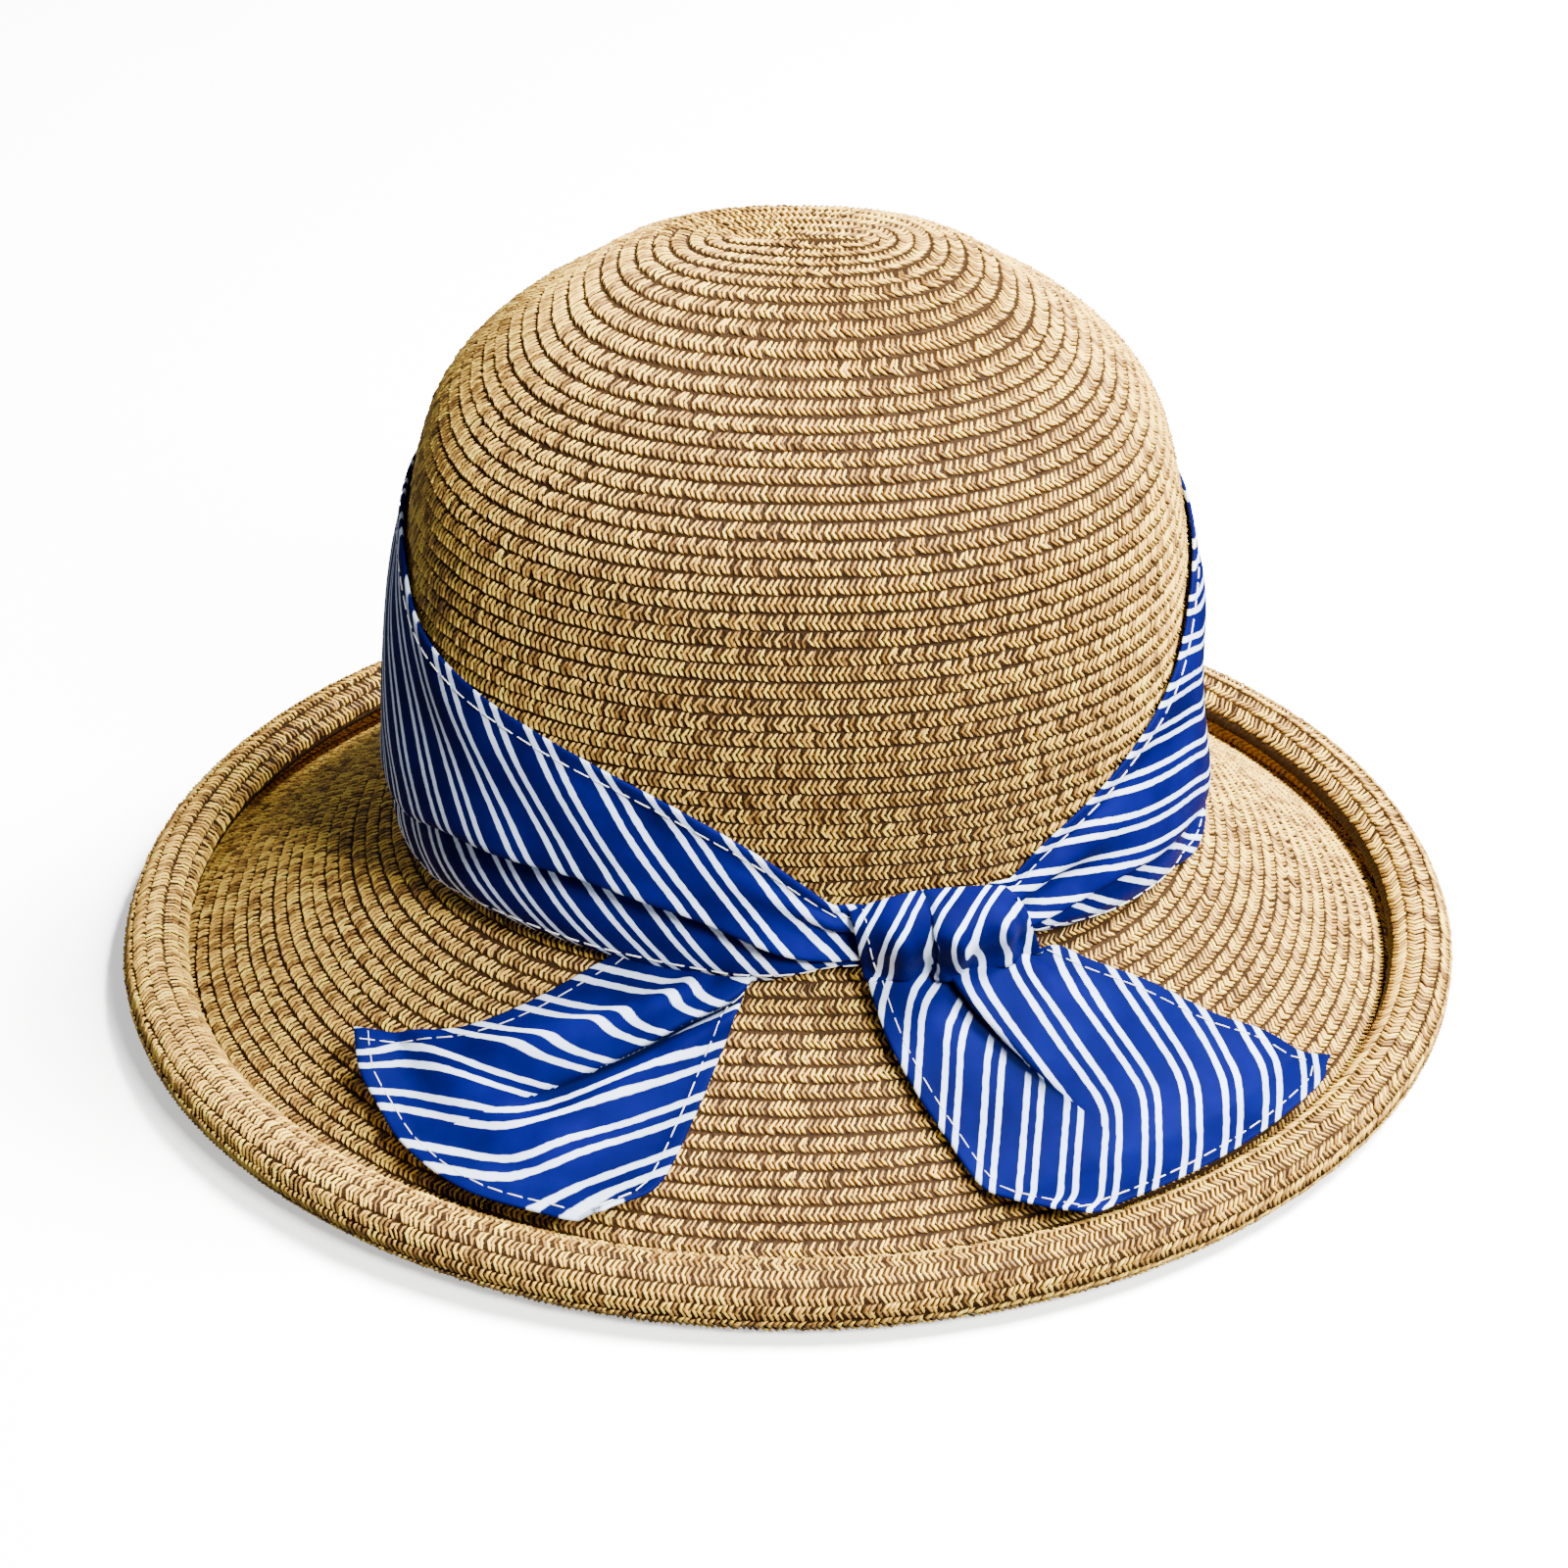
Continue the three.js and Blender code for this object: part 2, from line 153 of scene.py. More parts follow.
# the crown's outline from the seam to the tip: reach as a share of the half-width, rise of the height
crown_outline = np.array(
    [
        (0.983, 0),
        (0.995, 0.192),
        (1.0, 0.394),
        (0.975, 0.544),
        (0.933, 0.67),
        (0.89, 0.733),
        (0.825, 0.789),
        (0.74, 0.842),
        (0.64, 0.893),
        (0.53, 0.934),
        (0.41, 0.966),
        (0.28, 0.986),
        (0.15, 0.997),
        (0.02, 1.0),
    ]
)

HALF_WIDTH = CROWN_LENGTH / 2 - OVAL_STRETCH - WALL / 2
WALL_RADIUS = HALF_WIDTH * crown_outline[0, 0]
ROLL_MIDDLE = (ROLL - WALL) / 2
roll_centre = np.array([BRIM_LENGTH / 2 - OVAL_STRETCH - ROLL / 2, ROLL / 2 * np.cos(REST_ANGLE)])
ROLL_START = -np.pi / 2 - SLOPE


def round_roll(angle):
    """The point of the roll's middle at an angle: its centre plus the radius along that angle."""
    return roll_centre + ROLL_MIDDLE * np.stack([np.cos(angle), np.sin(angle)], -1)


brim_foot = round_roll(ROLL_START)
shoulder_r = WALL_RADIUS + SHOULDER * (1 - np.sin(SLOPE))
shoulder_z = brim_foot[1] + (brim_foot[0] - shoulder_r) * np.tan(SLOPE)
SEAM = shoulder_z + SHOULDER * np.cos(SLOPE)


def through(points, at):
    """A smooth curve through points: between two of them a cubic whose slope at each point is half
    the step between its neighbours. at is a point's number with its fraction."""
    low = np.clip(at.astype(int), 0, len(points) - 2)
    t = (at - low)[:, None]
    here, after = points[low], points[low + 1]
    leave = (after - points[np.maximum(low - 1, 0)]) / 2
    arrive = (points[np.minimum(low + 2, len(points) - 1)] - here) / 2
    bend = 2 * here - 2 * after + leave + arrive
    return bend * t**3 + (3 * after - 3 * here - 2 * leave - arrive) * t**2 + leave * t + here


crown_points = crown_outline * [HALF_WIDTH, CROWN_RISE - WALL / 2] + [0, SEAM]
crown_line = through(crown_points, np.linspace(len(crown_points) - 1, 0, 1600))
shoulder_angle = np.linspace(0, np.pi / 2 - SLOPE, 24)[1:]
shoulder_line = np.stack(
    [
        WALL_RADIUS + SHOULDER * (1 - np.cos(shoulder_angle)),
        SEAM - SHOULDER * np.sin(shoulder_angle),
    ],
    -1,
)
brim_line = np.linspace(shoulder_line[-1], brim_foot, 60)[1:]
roll_line = round_roll(np.linspace(ROLL_START, np.radians(ROLL_END), 160)[1:])
profile = np.vstack([crown_line, shoulder_line, brim_line, roll_line])
profile_out = np.r_[0, np.cumsum(np.linalg.norm(np.diff(profile, axis=0), axis=1))]
tangent = np.gradient(profile, profile_out, axis=0)
profile_normal = np.stack([-tangent[:, 1], tangent[:, 0]], -1)
profile_normal /= np.linalg.norm(profile_normal, axis=1, keepdims=True)
OUT_SEAM = profile_out[len(crown_line) - 1]
OUT_SLOPE = OUT_SEAM + SHOULDER * (np.pi / 2 - SLOPE)
OUT_FOOT = profile_out[len(crown_line) + len(shoulder_line) + len(brim_line) - 1]
OUT_END = profile_out[-1]
print("from tip to seam, brim, roll and edge:", np.round([OUT_SEAM, OUT_SLOPE, OUT_FOOT, OUT_END], 1))

# %% [markdown]
# The rows are ovals: an ellipse whose middle is pulled apart, a little squared on the crown. The brim
# of the real hat isn't quite even, so its edge comes in softly at three places and out in front, and
# the first rows of the crown lie behind its middle.

# %% Rows
squareness = {"rim": 2.0, "seam": 2.3, "crown": 2.35}
SQUARE_BY = 0.375
SMALLEST_ROW = 0.3
# for each dent its middle and half its width in degrees, and how far out as a share of the brim
brim_dents = [(-128, 50, -0.01), (-90, 60, 0.025), (38, 45, -0.03), (140, 45, -0.015)]
BRIM_REACH = roll_centre[0] - WALL_RADIUS


def smooth(x, low, high):
    """0 below low, 1 above high, and 3 t squared less 2 t cubed in between."""
    t = np.clip((x - low) / (high - low), 0, 1)
    return t * t * (3 - 2 * t)


def mix(a, b, share):
    """a where share is 0 and b where it is 1."""
    return a + (b - a) * share


def edge_pull(turn):
    """How far out the edge comes at a turn, or in if negative: for each dent one wave of a cosine."""
    pull = np.zeros_like(turn)
    for middle, spread, share in brim_dents:
        away = np.abs((turn - middle + 180) % 360 - 180)
        wave = 0.5 * share * BRIM_REACH * (1 + np.cos(np.pi * away / spread))
        pull += np.where(away < spread, wave, 0)
    return pull


def place(r, z, turn):
    """A profile point carried to its row: along the turn's direction it goes as far as the oval
    (|cos| / (stretch + r)) ^ q + (|sin| / r) ^ q = 1 lets it, with q the squareness at its height."""
    r = np.maximum(r + smooth(r, WALL_RADIUS + SHOULDER, brim_foot[0]) * edge_pull(turn), 0)
    rise = np.clip((z - SEAM) / CROWN_RISE, 0, 1)
    on_crown = mix(squareness["seam"], squareness["crown"], np.minimum(rise / SQUARE_BY, 1))
    on_brim = mix(squareness["rim"], squareness["seam"], np.clip(z / SEAM, 0, 1))
    q = np.where(z > SEAM, on_crown, on_brim)
    across, along = np.cos(np.radians(turn)), np.sin(np.radians(turn))
    oval = (np.abs(across) / (OVAL_STRETCH + r)) ** q
    oval = oval + (np.abs(along) / np.maximum(r, SMALLEST_ROW)) ** q
    size = oval ** (-1 / q)
    back = 1 - smooth(r, TIP_BACK_SHARES[0] * HALF_WIDTH, TIP_BACK_SHARES[1] * HALF_WIDTH)
    x = CROWN_SHIFT * np.minimum(z / SEAM, 1) + size * across
    y = TIP_BACK * back + size * along
    return np.stack([x, y, z + 0 * x], -1)


def on_straw(out, turn, off):
    """The point at a distance out from the tip, at a turn, and off the wall's middle to its outside.
    A distance below zero lies inside the first row, as far in as the profile's first reach allows."""
    r, z = (np.interp(out, profile_out, profile[:, i]) for i in (0, 1))
    nr, nz = (np.interp(out, profile_out, profile_normal[:, i]) for i in (0, 1))
    return place(r + np.minimum(out, 0) + nr * off, z + nz * off, turn)


side_and_back = on_straw(OUT_SEAM - 55, np.array([0.0, 90.0]), WALL / 2)
print("crown's outside 55 mm up from the seam, at the side and at the back:", np.round(side_and_back, 1))

# %% [markdown]
# ## From arrays to a mesh
#
# Every piece below is worked out as whole arrays. One function hands them to Blender, and turns the
# faces over if the volume they enclose comes out negative, so that they always point outwards.

# %% Mesh helper
made = {}


def mesh_piece(name, points, faces, uv=None, **values):
    """Points in millimetres and faces of equal length as one smooth piece that rides on the hat.
    uv holds maps with a pair for each corner, values holds numbers for each point."""
    corners = points[faces[:, :3].astype(int)]
    volume = np.einsum("ij,ij->", corners[:, 0], np.cross(corners[:, 1], corners[:, 2]))
    if faces.shape[1] == 4:
        other = points[faces[:, [0, 2, 3]].astype(int)]
        volume += np.einsum("ij,ij->", other[:, 0], np.cross(other[:, 1], other[:, 2]))
    order = slice(None) if volume > 0 else slice(None, None, -1)
    faces = np.ascontiguousarray(faces[:, order])
    mesh = bpy.data.meshes.new(name)
    mesh.vertices.add(len(points))
    mesh.vertices.foreach_set("co", (points * MM).astype(np.float32).ravel())
    mesh.loops.add(faces.size)
    mesh.loops.foreach_set("vertex_index", faces.astype(np.int32).ravel())
    mesh.polygons.add(len(faces))
    mesh.polygons.foreach_set("loop_start", np.arange(0, faces.size, faces.shape[1], dtype=np.int32))
    mesh.update(calc_edges=True)
    mesh.shade_smooth()
    for key, pairs in (uv or {}).items():
        layer = mesh.uv_layers.new(name=key)
        layer.data.foreach_set("uv", pairs[:, order].astype(np.float32).ravel())
    for key, numbers in values.items():
        layer = mesh.attributes.new(key, "FLOAT", "POINT")
        layer.data.foreach_set("value", numbers.astype(np.float32).ravel())
    piece = bpy.data.objects.new(name, mesh)
    bpy.context.scene.collection.objects.link(piece)
    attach(piece, "root")
    made[name] = len(faces) * (faces.shape[1] - 2)
    print(name, made[name], "triangles")
    return piece


# %% [markdown]
# ## The dark ground behind the braid
#
# Between the strands one looks into the braid, where it lies in deep shade. A thin closed shell at
# the middle of the wall gives that ground, painted nearly black brown as that shade, and stops the eye
# from seeing through. It could be a thickened surface with a modifier, but both faces are already
# known from the profile.

# %% Shells
ROW = 4.2
STEP = 1.47
SHELL_TURNS = 128
SHELL_WALL = 0.36
CROWN_CHEVRONS, BRIM_CHEVRONS = 340, 520


def ring_shell(name, outs, closed_at_tip, chevrons):
    """Rings at distances from the tip, outside then back inside, joined row to row. At the tip each
    face is closed with a fan to the middle of its ring. The map counts chevrons round a ring and
    rows outwards; bare is 1 on the face that carries no strands."""
    turn = np.arange(SHELL_TURNS) * 360.0 / SHELL_TURNS
    outside = on_straw(outs[:, None], turn[None, :], SHELL_WALL / 2)
    inside = on_straw(outs[::-1, None], turn[None, :], -SHELL_WALL / 2)
    rows = np.vstack([outside, inside])
    count = len(rows)
    first = np.arange(count)[:, None] * SHELL_TURNS
    here = np.arange(SHELL_TURNS)[None, :]
    beside = (here + 1) % SHELL_TURNS
    below = (first + SHELL_TURNS) % (count * SHELL_TURNS)
    quads = np.stack([first + here, first + beside, below + beside, below + here], -1)
    row_out = np.r_[outs, outs[::-1]]
    # the strands lie on the outside as far as the roll, and on the inside of the wall from there on
    on_roll = row_out > OUT_FOOT + 0.1
    row_bare = np.where(np.arange(count) < len(outs), on_roll, ~on_roll)
    point_out, point_bare = (np.repeat(values, SHELL_TURNS) for values in (row_out, row_bare))
    point_turn = np.tile(turn, count)

    def spots(faces):
        """The map at each face's corners. On the faces that close the ring the turn runs on to 360."""
        corner = point_turn[faces]
        closing = np.ptp(corner, axis=1, keepdims=True) > 180
        turns = (corner + 360 * (closing & (corner < 180))) / 360
        return np.stack([turns * chevrons, point_out[faces] / ROW - turns], -1)

    if not closed_at_tip:
        quads = quads.reshape(-1, 4)
        return mesh_piece(name, rows.reshape(-1, 3), quads, uv={"braid": spots(quads)}, bare=point_bare)
    poles = np.stack([rows[0].mean(0), rows[-1].mean(0)])
    points = np.vstack([rows.reshape(-1, 3), poles])
    point_out, point_turn = np.r_[point_out, 0, 0], np.r_[point_turn, 0, 0]
    point_bare = np.r_[point_bare, 0, 1]
    pole = count * SHELL_TURNS
    quads = quads[:-1].reshape(-1, 4)
    triangles = np.vstack([quads[:, :3], quads[:, [0, 2, 3]]])
    fan = np.stack([here[0], np.full(SHELL_TURNS, pole), beside[0]], -1)
    last = (count - 1) * SHELL_TURNS
    fan_inside = np.stack([last + beside[0], np.full(SHELL_TURNS, pole + 1), last + here[0]], -1)
    faces = np.vstack([triangles, fan, fan_inside])
    return mesh_piece(name, points, faces, uv={"braid": spots(faces)}, bare=point_bare)


crown_outs = np.linspace(0, OUT_SEAM - SEAM_GAP / 2, 48)
slope_outs = np.linspace(OUT_SEAM + SEAM_GAP / 2, OUT_FOOT, 20)
brim_outs = np.r_[slope_outs, np.linspace(OUT_FOOT, OUT_END, 26)[1:]]
crown_shell = ring_shell("crown_shade_ground", crown_outs, True, CROWN_CHEVRONS)
brim_shell = ring_shell("brim_shade_ground", brim_outs, False, BRIM_CHEVRONS)

# %% [markdown]
# ## The braid
#
# Seen close, a row of the braid is a line of small chevrons: one straw comes from the top edge of the
# row, bends near its middle and goes on to the lower edge, which lies over the next row. Between two
# of them the end of another straw shows, deeper, and darker from its real shadow and from painted
# shade. Both are real strands here, because their shadows make the look of straw: a picture of them
# on a smooth wall stays flat at the outline.
#
# One spiral gives the place of every chevron. The path is laid out finely, its length is summed, and
# the chevrons are set along it at even steps.

# %% Spiral
FIRST_TURN = -1.0
TIP_START = -1.6

path_turns = np.linspace(FIRST_TURN, (OUT_END - ROW) / ROW, 30000)
path = on_straw(np.clip(path_turns * ROW + ROW / 2, TIP_START, None), path_turns * 360, 0.0)
path_length = np.r_[0, np.cumsum(np.linalg.norm(np.diff(path, axis=0), axis=1))]
unit_at = np.arange(0, path_length[-1], STEP)
unit_turns = np.interp(unit_at, path_length, path_turns)
unit_count = len(unit_turns)
print("rows:", round(path_turns[-1]), " chevrons:", unit_count)
print("braid:", round(path_length[-1] / 1000, 1), "m")


# %% [markdown]
# A strand is a point, some rings of three points and a point again. Its rings are given along the
# row, down the row and off the wall, with their half-width, their depth and the direction of their
# width. Three points are enough, because a strand's under side lies in the braid.

# %% Strand template
def strand(stations, before=0):
    """Points and triangles of one strand, and where each corner lies on its map. The first and last
    station are its two ends, and each station between them is a ring of three points: to one side,
    on top and to the other side."""
    stations = np.array(stations, float)
    ends, rings = stations[[0, -1], :3], stations[1:-1]
    angle = np.radians(rings[:, 5])
    side = np.stack([np.cos(angle), np.sin(angle), 0 * angle], -1) * rings[:, 3:4]
    top = np.array([0, 0, 1.0]) * rings[:, 4:5]
    corners = np.stack([rings[:, :3] + side, rings[:, :3] + top, rings[:, :3] - side], 1)
    points = np.vstack([ends[:1], corners.reshape(-1, 3), ends[1:]])
    count = len(rings)
    here = np.arange(3)
    beside = (here + 1) % 3
    faces, spots = [], []
    for row in range(count + 1):
        low, high = 3 * row - 2, 3 * row + 1
        near, far = np.full(3, row), np.full(3, row + 1)
        if row == 0:
            faces.append([np.full(3, 0), high + here, high + beside])
            spots.append([[here + 0.5, near], [here, far], [here + 1.0, far]])
        elif row == count:
            faces.append([low + beside, low + here, np.full(3, len(points) - 1)])
            spots.append([[here + 1.0, near], [here, near], [here + 0.5, far]])
        else:
            faces.append([low + here, high + beside, low + beside])
            spots.append([[here, near], [here + 1.0, far], [here + 1.0, near]])
            faces.append([low + here, high + here, high + beside])
            spots.append([[here, near], [here, far], [here + 1.0, far]])
    faces = np.vstack([np.stack(corner, -1) for corner in faces]) + before
    spots = np.concatenate([np.transpose(np.array(spot), (2, 0, 1)) for spot in spots])
    return points, faces, spots / [3.0, count + 1.0]


# along the row, down the row, off the wall, half-width, depth, direction of the width in degrees
chevron = strand(
    [
        (1.6, 0.0, -0.25, 0, 0, 0),
        (1.05, 0.62, 0.0, 0.47, 0.62, 36),
        (0.0, 2.3, 0.05, 0.6, 0.58, 0),
        (0.65, 3.4, 0.4, 0.47, 0.62, -42),
        (1.45, 4.08, 0.42, 0, 0, 0),
    ]
)
tuck = strand(
    [
        (0.3, 0.3, -0.25, 0, 0, 0),
        (0.75, 1.35, -0.02, 0.4, 0.5, -32),
        (1.4, 2.85, -0.1, 0, 0, 0),
    ],
    before=len(chevron[0]),
)
unit_points = np.vstack([chevron[0], tuck[0]])
unit_faces = np.vstack([chevron[1], tuck[1]])
# the chevron's map fills the left of its cell and the tucked end's the right
unit_spots = np.vstack([chevron[2] * [0.62, 1.0], tuck[2] * [0.3, 1.0] + [0.66, 0.0]])
# how deep a point lies in the braid, as painted shade from 0 for the darkest to 1 for the lit crest;
# the strands' sides and the tucked end are painted darker too
ring_painted_light = np.array([0.45, 1.0, 0.45])
chevron_painted_light = np.r_[0.25, 0.9 * ring_painted_light, ring_painted_light, ring_painted_light, 0.45]
unit_painted_light = np.r_[chevron_painted_light, 0.3, 0.65 * ring_painted_light, 0.3]
print("one chevron:", len(unit_points), "points", len(unit_faces), "triangles")

# %% [markdown]
# No two straws are alike, so each chevron gets its own shift, lean, size and tone from a seeded
# random generator, and slow waves along the braid make the rows a little uneven, as hand-guided
# sewing does.

# %% Lay the braid
dice = np.random.default_rng(11)
wave_paces = ((7.1, 0.0), (3.3, 1.0), (17.7, 2.0), (43.1, 0.5))


def jitter(spread):
    """A random number for each chevron, spread about zero and never past twice the spread."""
    return np.clip(dice.normal(0, spread, unit_count), -2 * spread, 2 * spread)


waves = [np.sin(unit_turns * pace + start) for pace, start in wave_paces]
loose = np.clip(0.5 + 0.4 * (waves[2] + waves[3] * waves[0]), 0, 1)
untidy = 0.7 + 0.8 * loose
size_along, size_down = 1 + jitter(0.09) * untidy, 1 + jitter(0.05)
shift_along, shift_down, shift_off = jitter(0.1) * untidy, jitter(0.1) * untidy, jitter(0.08) * untidy
lean = jitter(0.08) * untidy
shift_down += 0.07 * (waves[0] + waves[1] + waves[2])
tone = 0.5 + jitter(0.26) + 0.04 * np.sin(unit_turns * 11.3)
tone_apart = jitter(0.3)


def row_reach(out):
    """How far from the middle line a row lies at a distance out from the tip."""
    return np.maximum(np.interp(out, profile_out, profile[:, 0]) + np.minimum(out, 0), SMALLEST_ROW)


def straight_out(turn, here, there):
    """The turn, on a row that reaches there, of the place beside a turn on a row that reaches here.
    On an oval, lines from the middle cross the rows at a slant, most of all near the tip; equal
    shares of the oval's two half-widths don't."""
    angle = np.radians(turn)
    share = np.arctan2((OVAL_STRETCH + here) * np.sin(angle), here * np.cos(angle))
    moved = np.arctan2(there * np.sin(share), (OVAL_STRETCH + there) * np.cos(share))
    return turn + np.degrees((moved - angle + np.pi) % (2 * np.pi) - np.pi)


MAP_MARGIN = 0.04
ROLL_SPREAD = 1.14


def lay_braid(name, low, high, spread=1.0, side=1):
    """The chevrons whose row starts between two distances from the tip. Along the row a point's turn
    is read from the length of the spiral; down the row it lies further out. A side of -1 lays them on
    the wall's under side, which is the one that shows on the roll. Each has a cell of its own in the
    map, and its upper arm is lighter or darker than its lower one."""
    start = unit_turns * ROW
    mine = (start >= low) & (start < high)
    along = unit_points[None, :, 0] * size_along[mine, None] + shift_along[mine, None]
    down = (unit_points[None, :, 1] - ROW / 2) * spread * size_down[mine, None]
    down = down + ROW / 2 + shift_down[mine, None]
    along = along + lean[mine, None] * (down - ROW / 2)
    off = side * (unit_points[None, :, 2] + shift_off[mine, None])
    turns = np.interp(unit_at[mine, None] + along, path_length, path_turns)
    out = np.clip(turns * ROW + down, TIP_START, OUT_END)
    turn = straight_out(turns * 360, row_reach(turns * ROW + ROW / 2), row_reach(out))
    points = on_straw(out, turn, off).reshape(-1, 3)
    number = int(mine.sum())
    faces = (unit_faces[None] + np.arange(number)[:, None, None] * len(unit_points)).reshape(-1, 3)
    across = int(np.ceil(np.sqrt(number)))
    cell = np.stack([np.arange(number) % across, np.arange(number) // across], -1)
    spots = (cell[:, None, None, :] + MAP_MARGIN + (1 - 2 * MAP_MARGIN) * unit_spots[None]) / across
    upper_arm = smooth(unit_points[None, :, 1], ROW * 0.4, ROW * 0.6) - 0.5
    tones = np.clip(tone[mine, None] + tone_apart[mine, None] * upper_arm, 0, 1)
    return mesh_piece(
        name,
        points,
        faces,
        uv={"OFBake": spots.reshape(-1, 3, 2)},
        tone=tones,
        # the depth numbers are painted shade, dark where a strand dives into the braid and on its sides
        depth=np.tile(unit_painted_light, number),
    )


crown_split = OUT_SEAM * 0.6
brim_split = mix(OUT_SEAM, OUT_FOOT, 0.52)
roll_split = mix(OUT_FOOT, OUT_END, 0.5)
straw_pieces = [
    (lay_braid("crown_top_braid", -10, crown_split), "crown"),
    (lay_braid("crown_wall_braid", crown_split, OUT_SEAM - ROW / 2), "crown"),
    (lay_braid("brim_inner_braid", OUT_SEAM - ROW / 2, brim_split), "brim"),
    (lay_braid("brim_outer_braid", brim_split, OUT_FOOT), "brim"),
    (lay_braid("roll_outer_braid", OUT_FOOT, roll_split, ROLL_SPREAD, -1), "brim"),
    (lay_braid("roll_inner_braid", roll_split, OUT_END, ROLL_SPREAD, -1), "brim"),
    (crown_shell, "crown"),
    (brim_shell, "brim"),
]
for piece, node in straw_pieces:
    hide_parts(node)
    "straw_" + node

# %% [markdown]
# ## The scarf
#
# The scarf is thin woven cloth with a narrow hem. It lies close round the crown with one long pleat,
# its two ends fan out on the brim, and the knot is a smooth roll of the same cloth. A cloth
# simulation would make new folds each time something changes, and these folds have known places, so
# the folds are worked out: a height above the straw, which is a sum of soft ridges, and a lean that
# pushes each ridge over to one side, so that it hangs over the cloth beside it like a wave.
#
# The first helper reads a table smoothly, the same way the solids do.

# %% Scarf helpers
SCARF_WIDTH = 95.0
CLOTH = 1.2
CLOTH_GAP = 0.8
PIECE_GAP = 0.4
PLEAT = 5.5
KNOT_DEPTH = 11.0
KNOT_HEIGHT = 22.0
TAIL_LIFT = 3.0
FOLD = 3.0
STRIPE_PERIOD = 9.8


def eased(keys, values, at):
    """A table's value between two rows: a cubic that passes each row at the slope between its
    neighbours."""
    keys, values = np.asarray(keys, float), np.asarray(values, float)
    at = np.clip(at, keys[0], keys[-1])
    i = np.clip(np.searchsorted(keys, at, side="right"), 1, len(keys) - 1)
    before, after = np.maximum(i - 2, 0), np.minimum(i + 1, len(keys) - 1)
    reach = keys[i] - keys[i - 1]
    t = (at - keys[i - 1]) / reach
    leave = (values[i] - values[before]) / (keys[i] - keys[before]) * reach
    arrive = (values[after] - values[i - 1]) / (keys[after] - keys[i - 1]) * reach
    start, end = values[i - 1] * (1 + 2 * t), values[i] * t * t * (3 - 2 * t)
    return (start + leave * t) * (t - 1) ** 2 + end + arrive * t * t * (t - 1)


def ridge(across, middle, width):
    """A soft fold: e to the minus square of the distance from its line, in widths."""
    return np.exp(-(((across - middle) / width) ** 2))


def edged(count):
    """Shares from 0 to 1 with narrow steps at both ends, so that a hem's edge can be rounded."""
    return np.r_[0, 0.004, 0.012, np.linspace(0.025, 0.975, count - 6), 0.988, 0.996, 1]


def over_straw(run, turn, height):
    """The middle of the cloth at a run up from the seam, or out along the brim if negative. Height
    counts from where the cloth lies flat on the straw."""
    return on_straw(OUT_SEAM - run, turn, WALL / 2 + CLOTH_GAP + CLOTH / 2 + height)


def lengths(points, axis):
    """The distance along one direction of a grid, summed from its first row."""
    steps = np.linalg.norm(np.diff(points, axis=axis), axis=-1)
    zero = np.zeros_like(np.take(steps, [0], axis=axis))
    return np.concatenate([zero, np.cumsum(steps, axis=axis)], axis=axis)


def face_normals(points):
    """The cross product of the grid's two directions at each of its points, made one long."""
    cross = np.cross(np.gradient(points, axis=0), np.gradient(points, axis=1))
    return cross / np.maximum(np.linalg.norm(cross, axis=-1, keepdims=True), 1e-9)


print("cloth", CLOTH, "mm thick in the solids,", CLOTH_GAP, "mm off the straw")


# %% [markdown]
# Every piece of the scarf is a closed sheet with a hem, where the cloth is folded over and thicker. A
# grid of single faces and a Solidify modifier would give it one thickness all over. So the sheet is
# built on both sides of a grid of middle points, and its thickness changes towards the hem.

# %% Sheets of cloth
HEM = 3.6
CLOTH_HALF = 0.3
HEM_HALF = 0.52
LIP = 0.6
INSIDE_HAT = np.array([0.0, 0.0, 20.0])


def sheet_piece(name, middle, fabric, free, beyond, far, hollow):
    """A closed sheet about a grid of middle points, its outer points and its normals. It is thicker
    in the hem, which is HEM wide along each free edge, and thins to a round lip at the edge itself.
    free says which edges are hemmed: first row, last row, first column, last column. Faces that lie
    far past a fold take their map from beyond, so that the stripes stop at the fold instead of
    bending round it. Its last argument is painted shade: 1 deep under a fold, where little light comes."""
    normal = face_normals(middle)
    if np.sum(normal * (middle - INSIDE_HAT)) < 0:
        normal = -normal
    along, across = lengths(middle, 0), lengths(middle, 1)
    to_edges = np.stack([along, along[-1:] - along, across, across[:, -1:] - across])
    hem = np.min(to_edges[np.array(free, bool)], axis=0)
    edge = np.min(to_edges, axis=0)
    half = mix(HEM_HALF, CLOTH_HALF, smooth(hem, HEM * 0.9, HEM * 1.15))
    half = half * np.sqrt(1 - (1 - np.clip(edge / LIP, 0.04, 1)) ** 2)
    outer, inner = middle + normal * half[..., None], middle - normal * half[..., None]
    rows, columns = middle.shape[:2]
    index = np.arange(rows * columns).reshape(rows, columns)
    grid = np.stack([index[:-1, :-1], index[:-1, 1:], index[1:, 1:], index[1:, :-1]], -1).reshape(-1, 4)
    border = np.r_[index[0, :-1], index[:-1, -1], index[-1, :0:-1], index[:0:-1, 0]]
    beside = np.roll(border, -1)
    shift = rows * columns
    lip = np.stack([border, border + shift, beside + shift, beside], -1)
    faces = np.vstack([grid, grid[:, ::-1] + shift, lip])
    points = np.vstack([outer.reshape(-1, 3), inner.reshape(-1, 3)])
    spots = np.tile(fabric.reshape(-1, 2), (2, 1))[faces]
    past_fold = np.tile(far.ravel(), 2)[faces].all(axis=1)
    spots = np.where(past_fold[:, None, None], np.tile(beyond.reshape(-1, 2), (2, 1))[faces], spots)
    width, length = across[:, -1].mean(), along[-1].mean()
    print(name, "is", round(width, 1), "by", round(length, 1), "mm")
    piece = mesh_piece(
        name,
        points,
        faces,
        uv={"fabric": spots / STRIPE_PERIOD},
        hollow=np.tile(np.broadcast_to(hollow, middle.shape[:2]).ravel(), 2),
    )
    return piece, outer, normal


# %% [markdown]
# The stripes of the two ends run nearly straight in the photograph. So their map is laid out in a
# plane square to the photograph's view, where a stripe is one direction, and a few bends turn it. It
# could follow the rows of the sheet, but those fan out, and the stripes would curve with them.

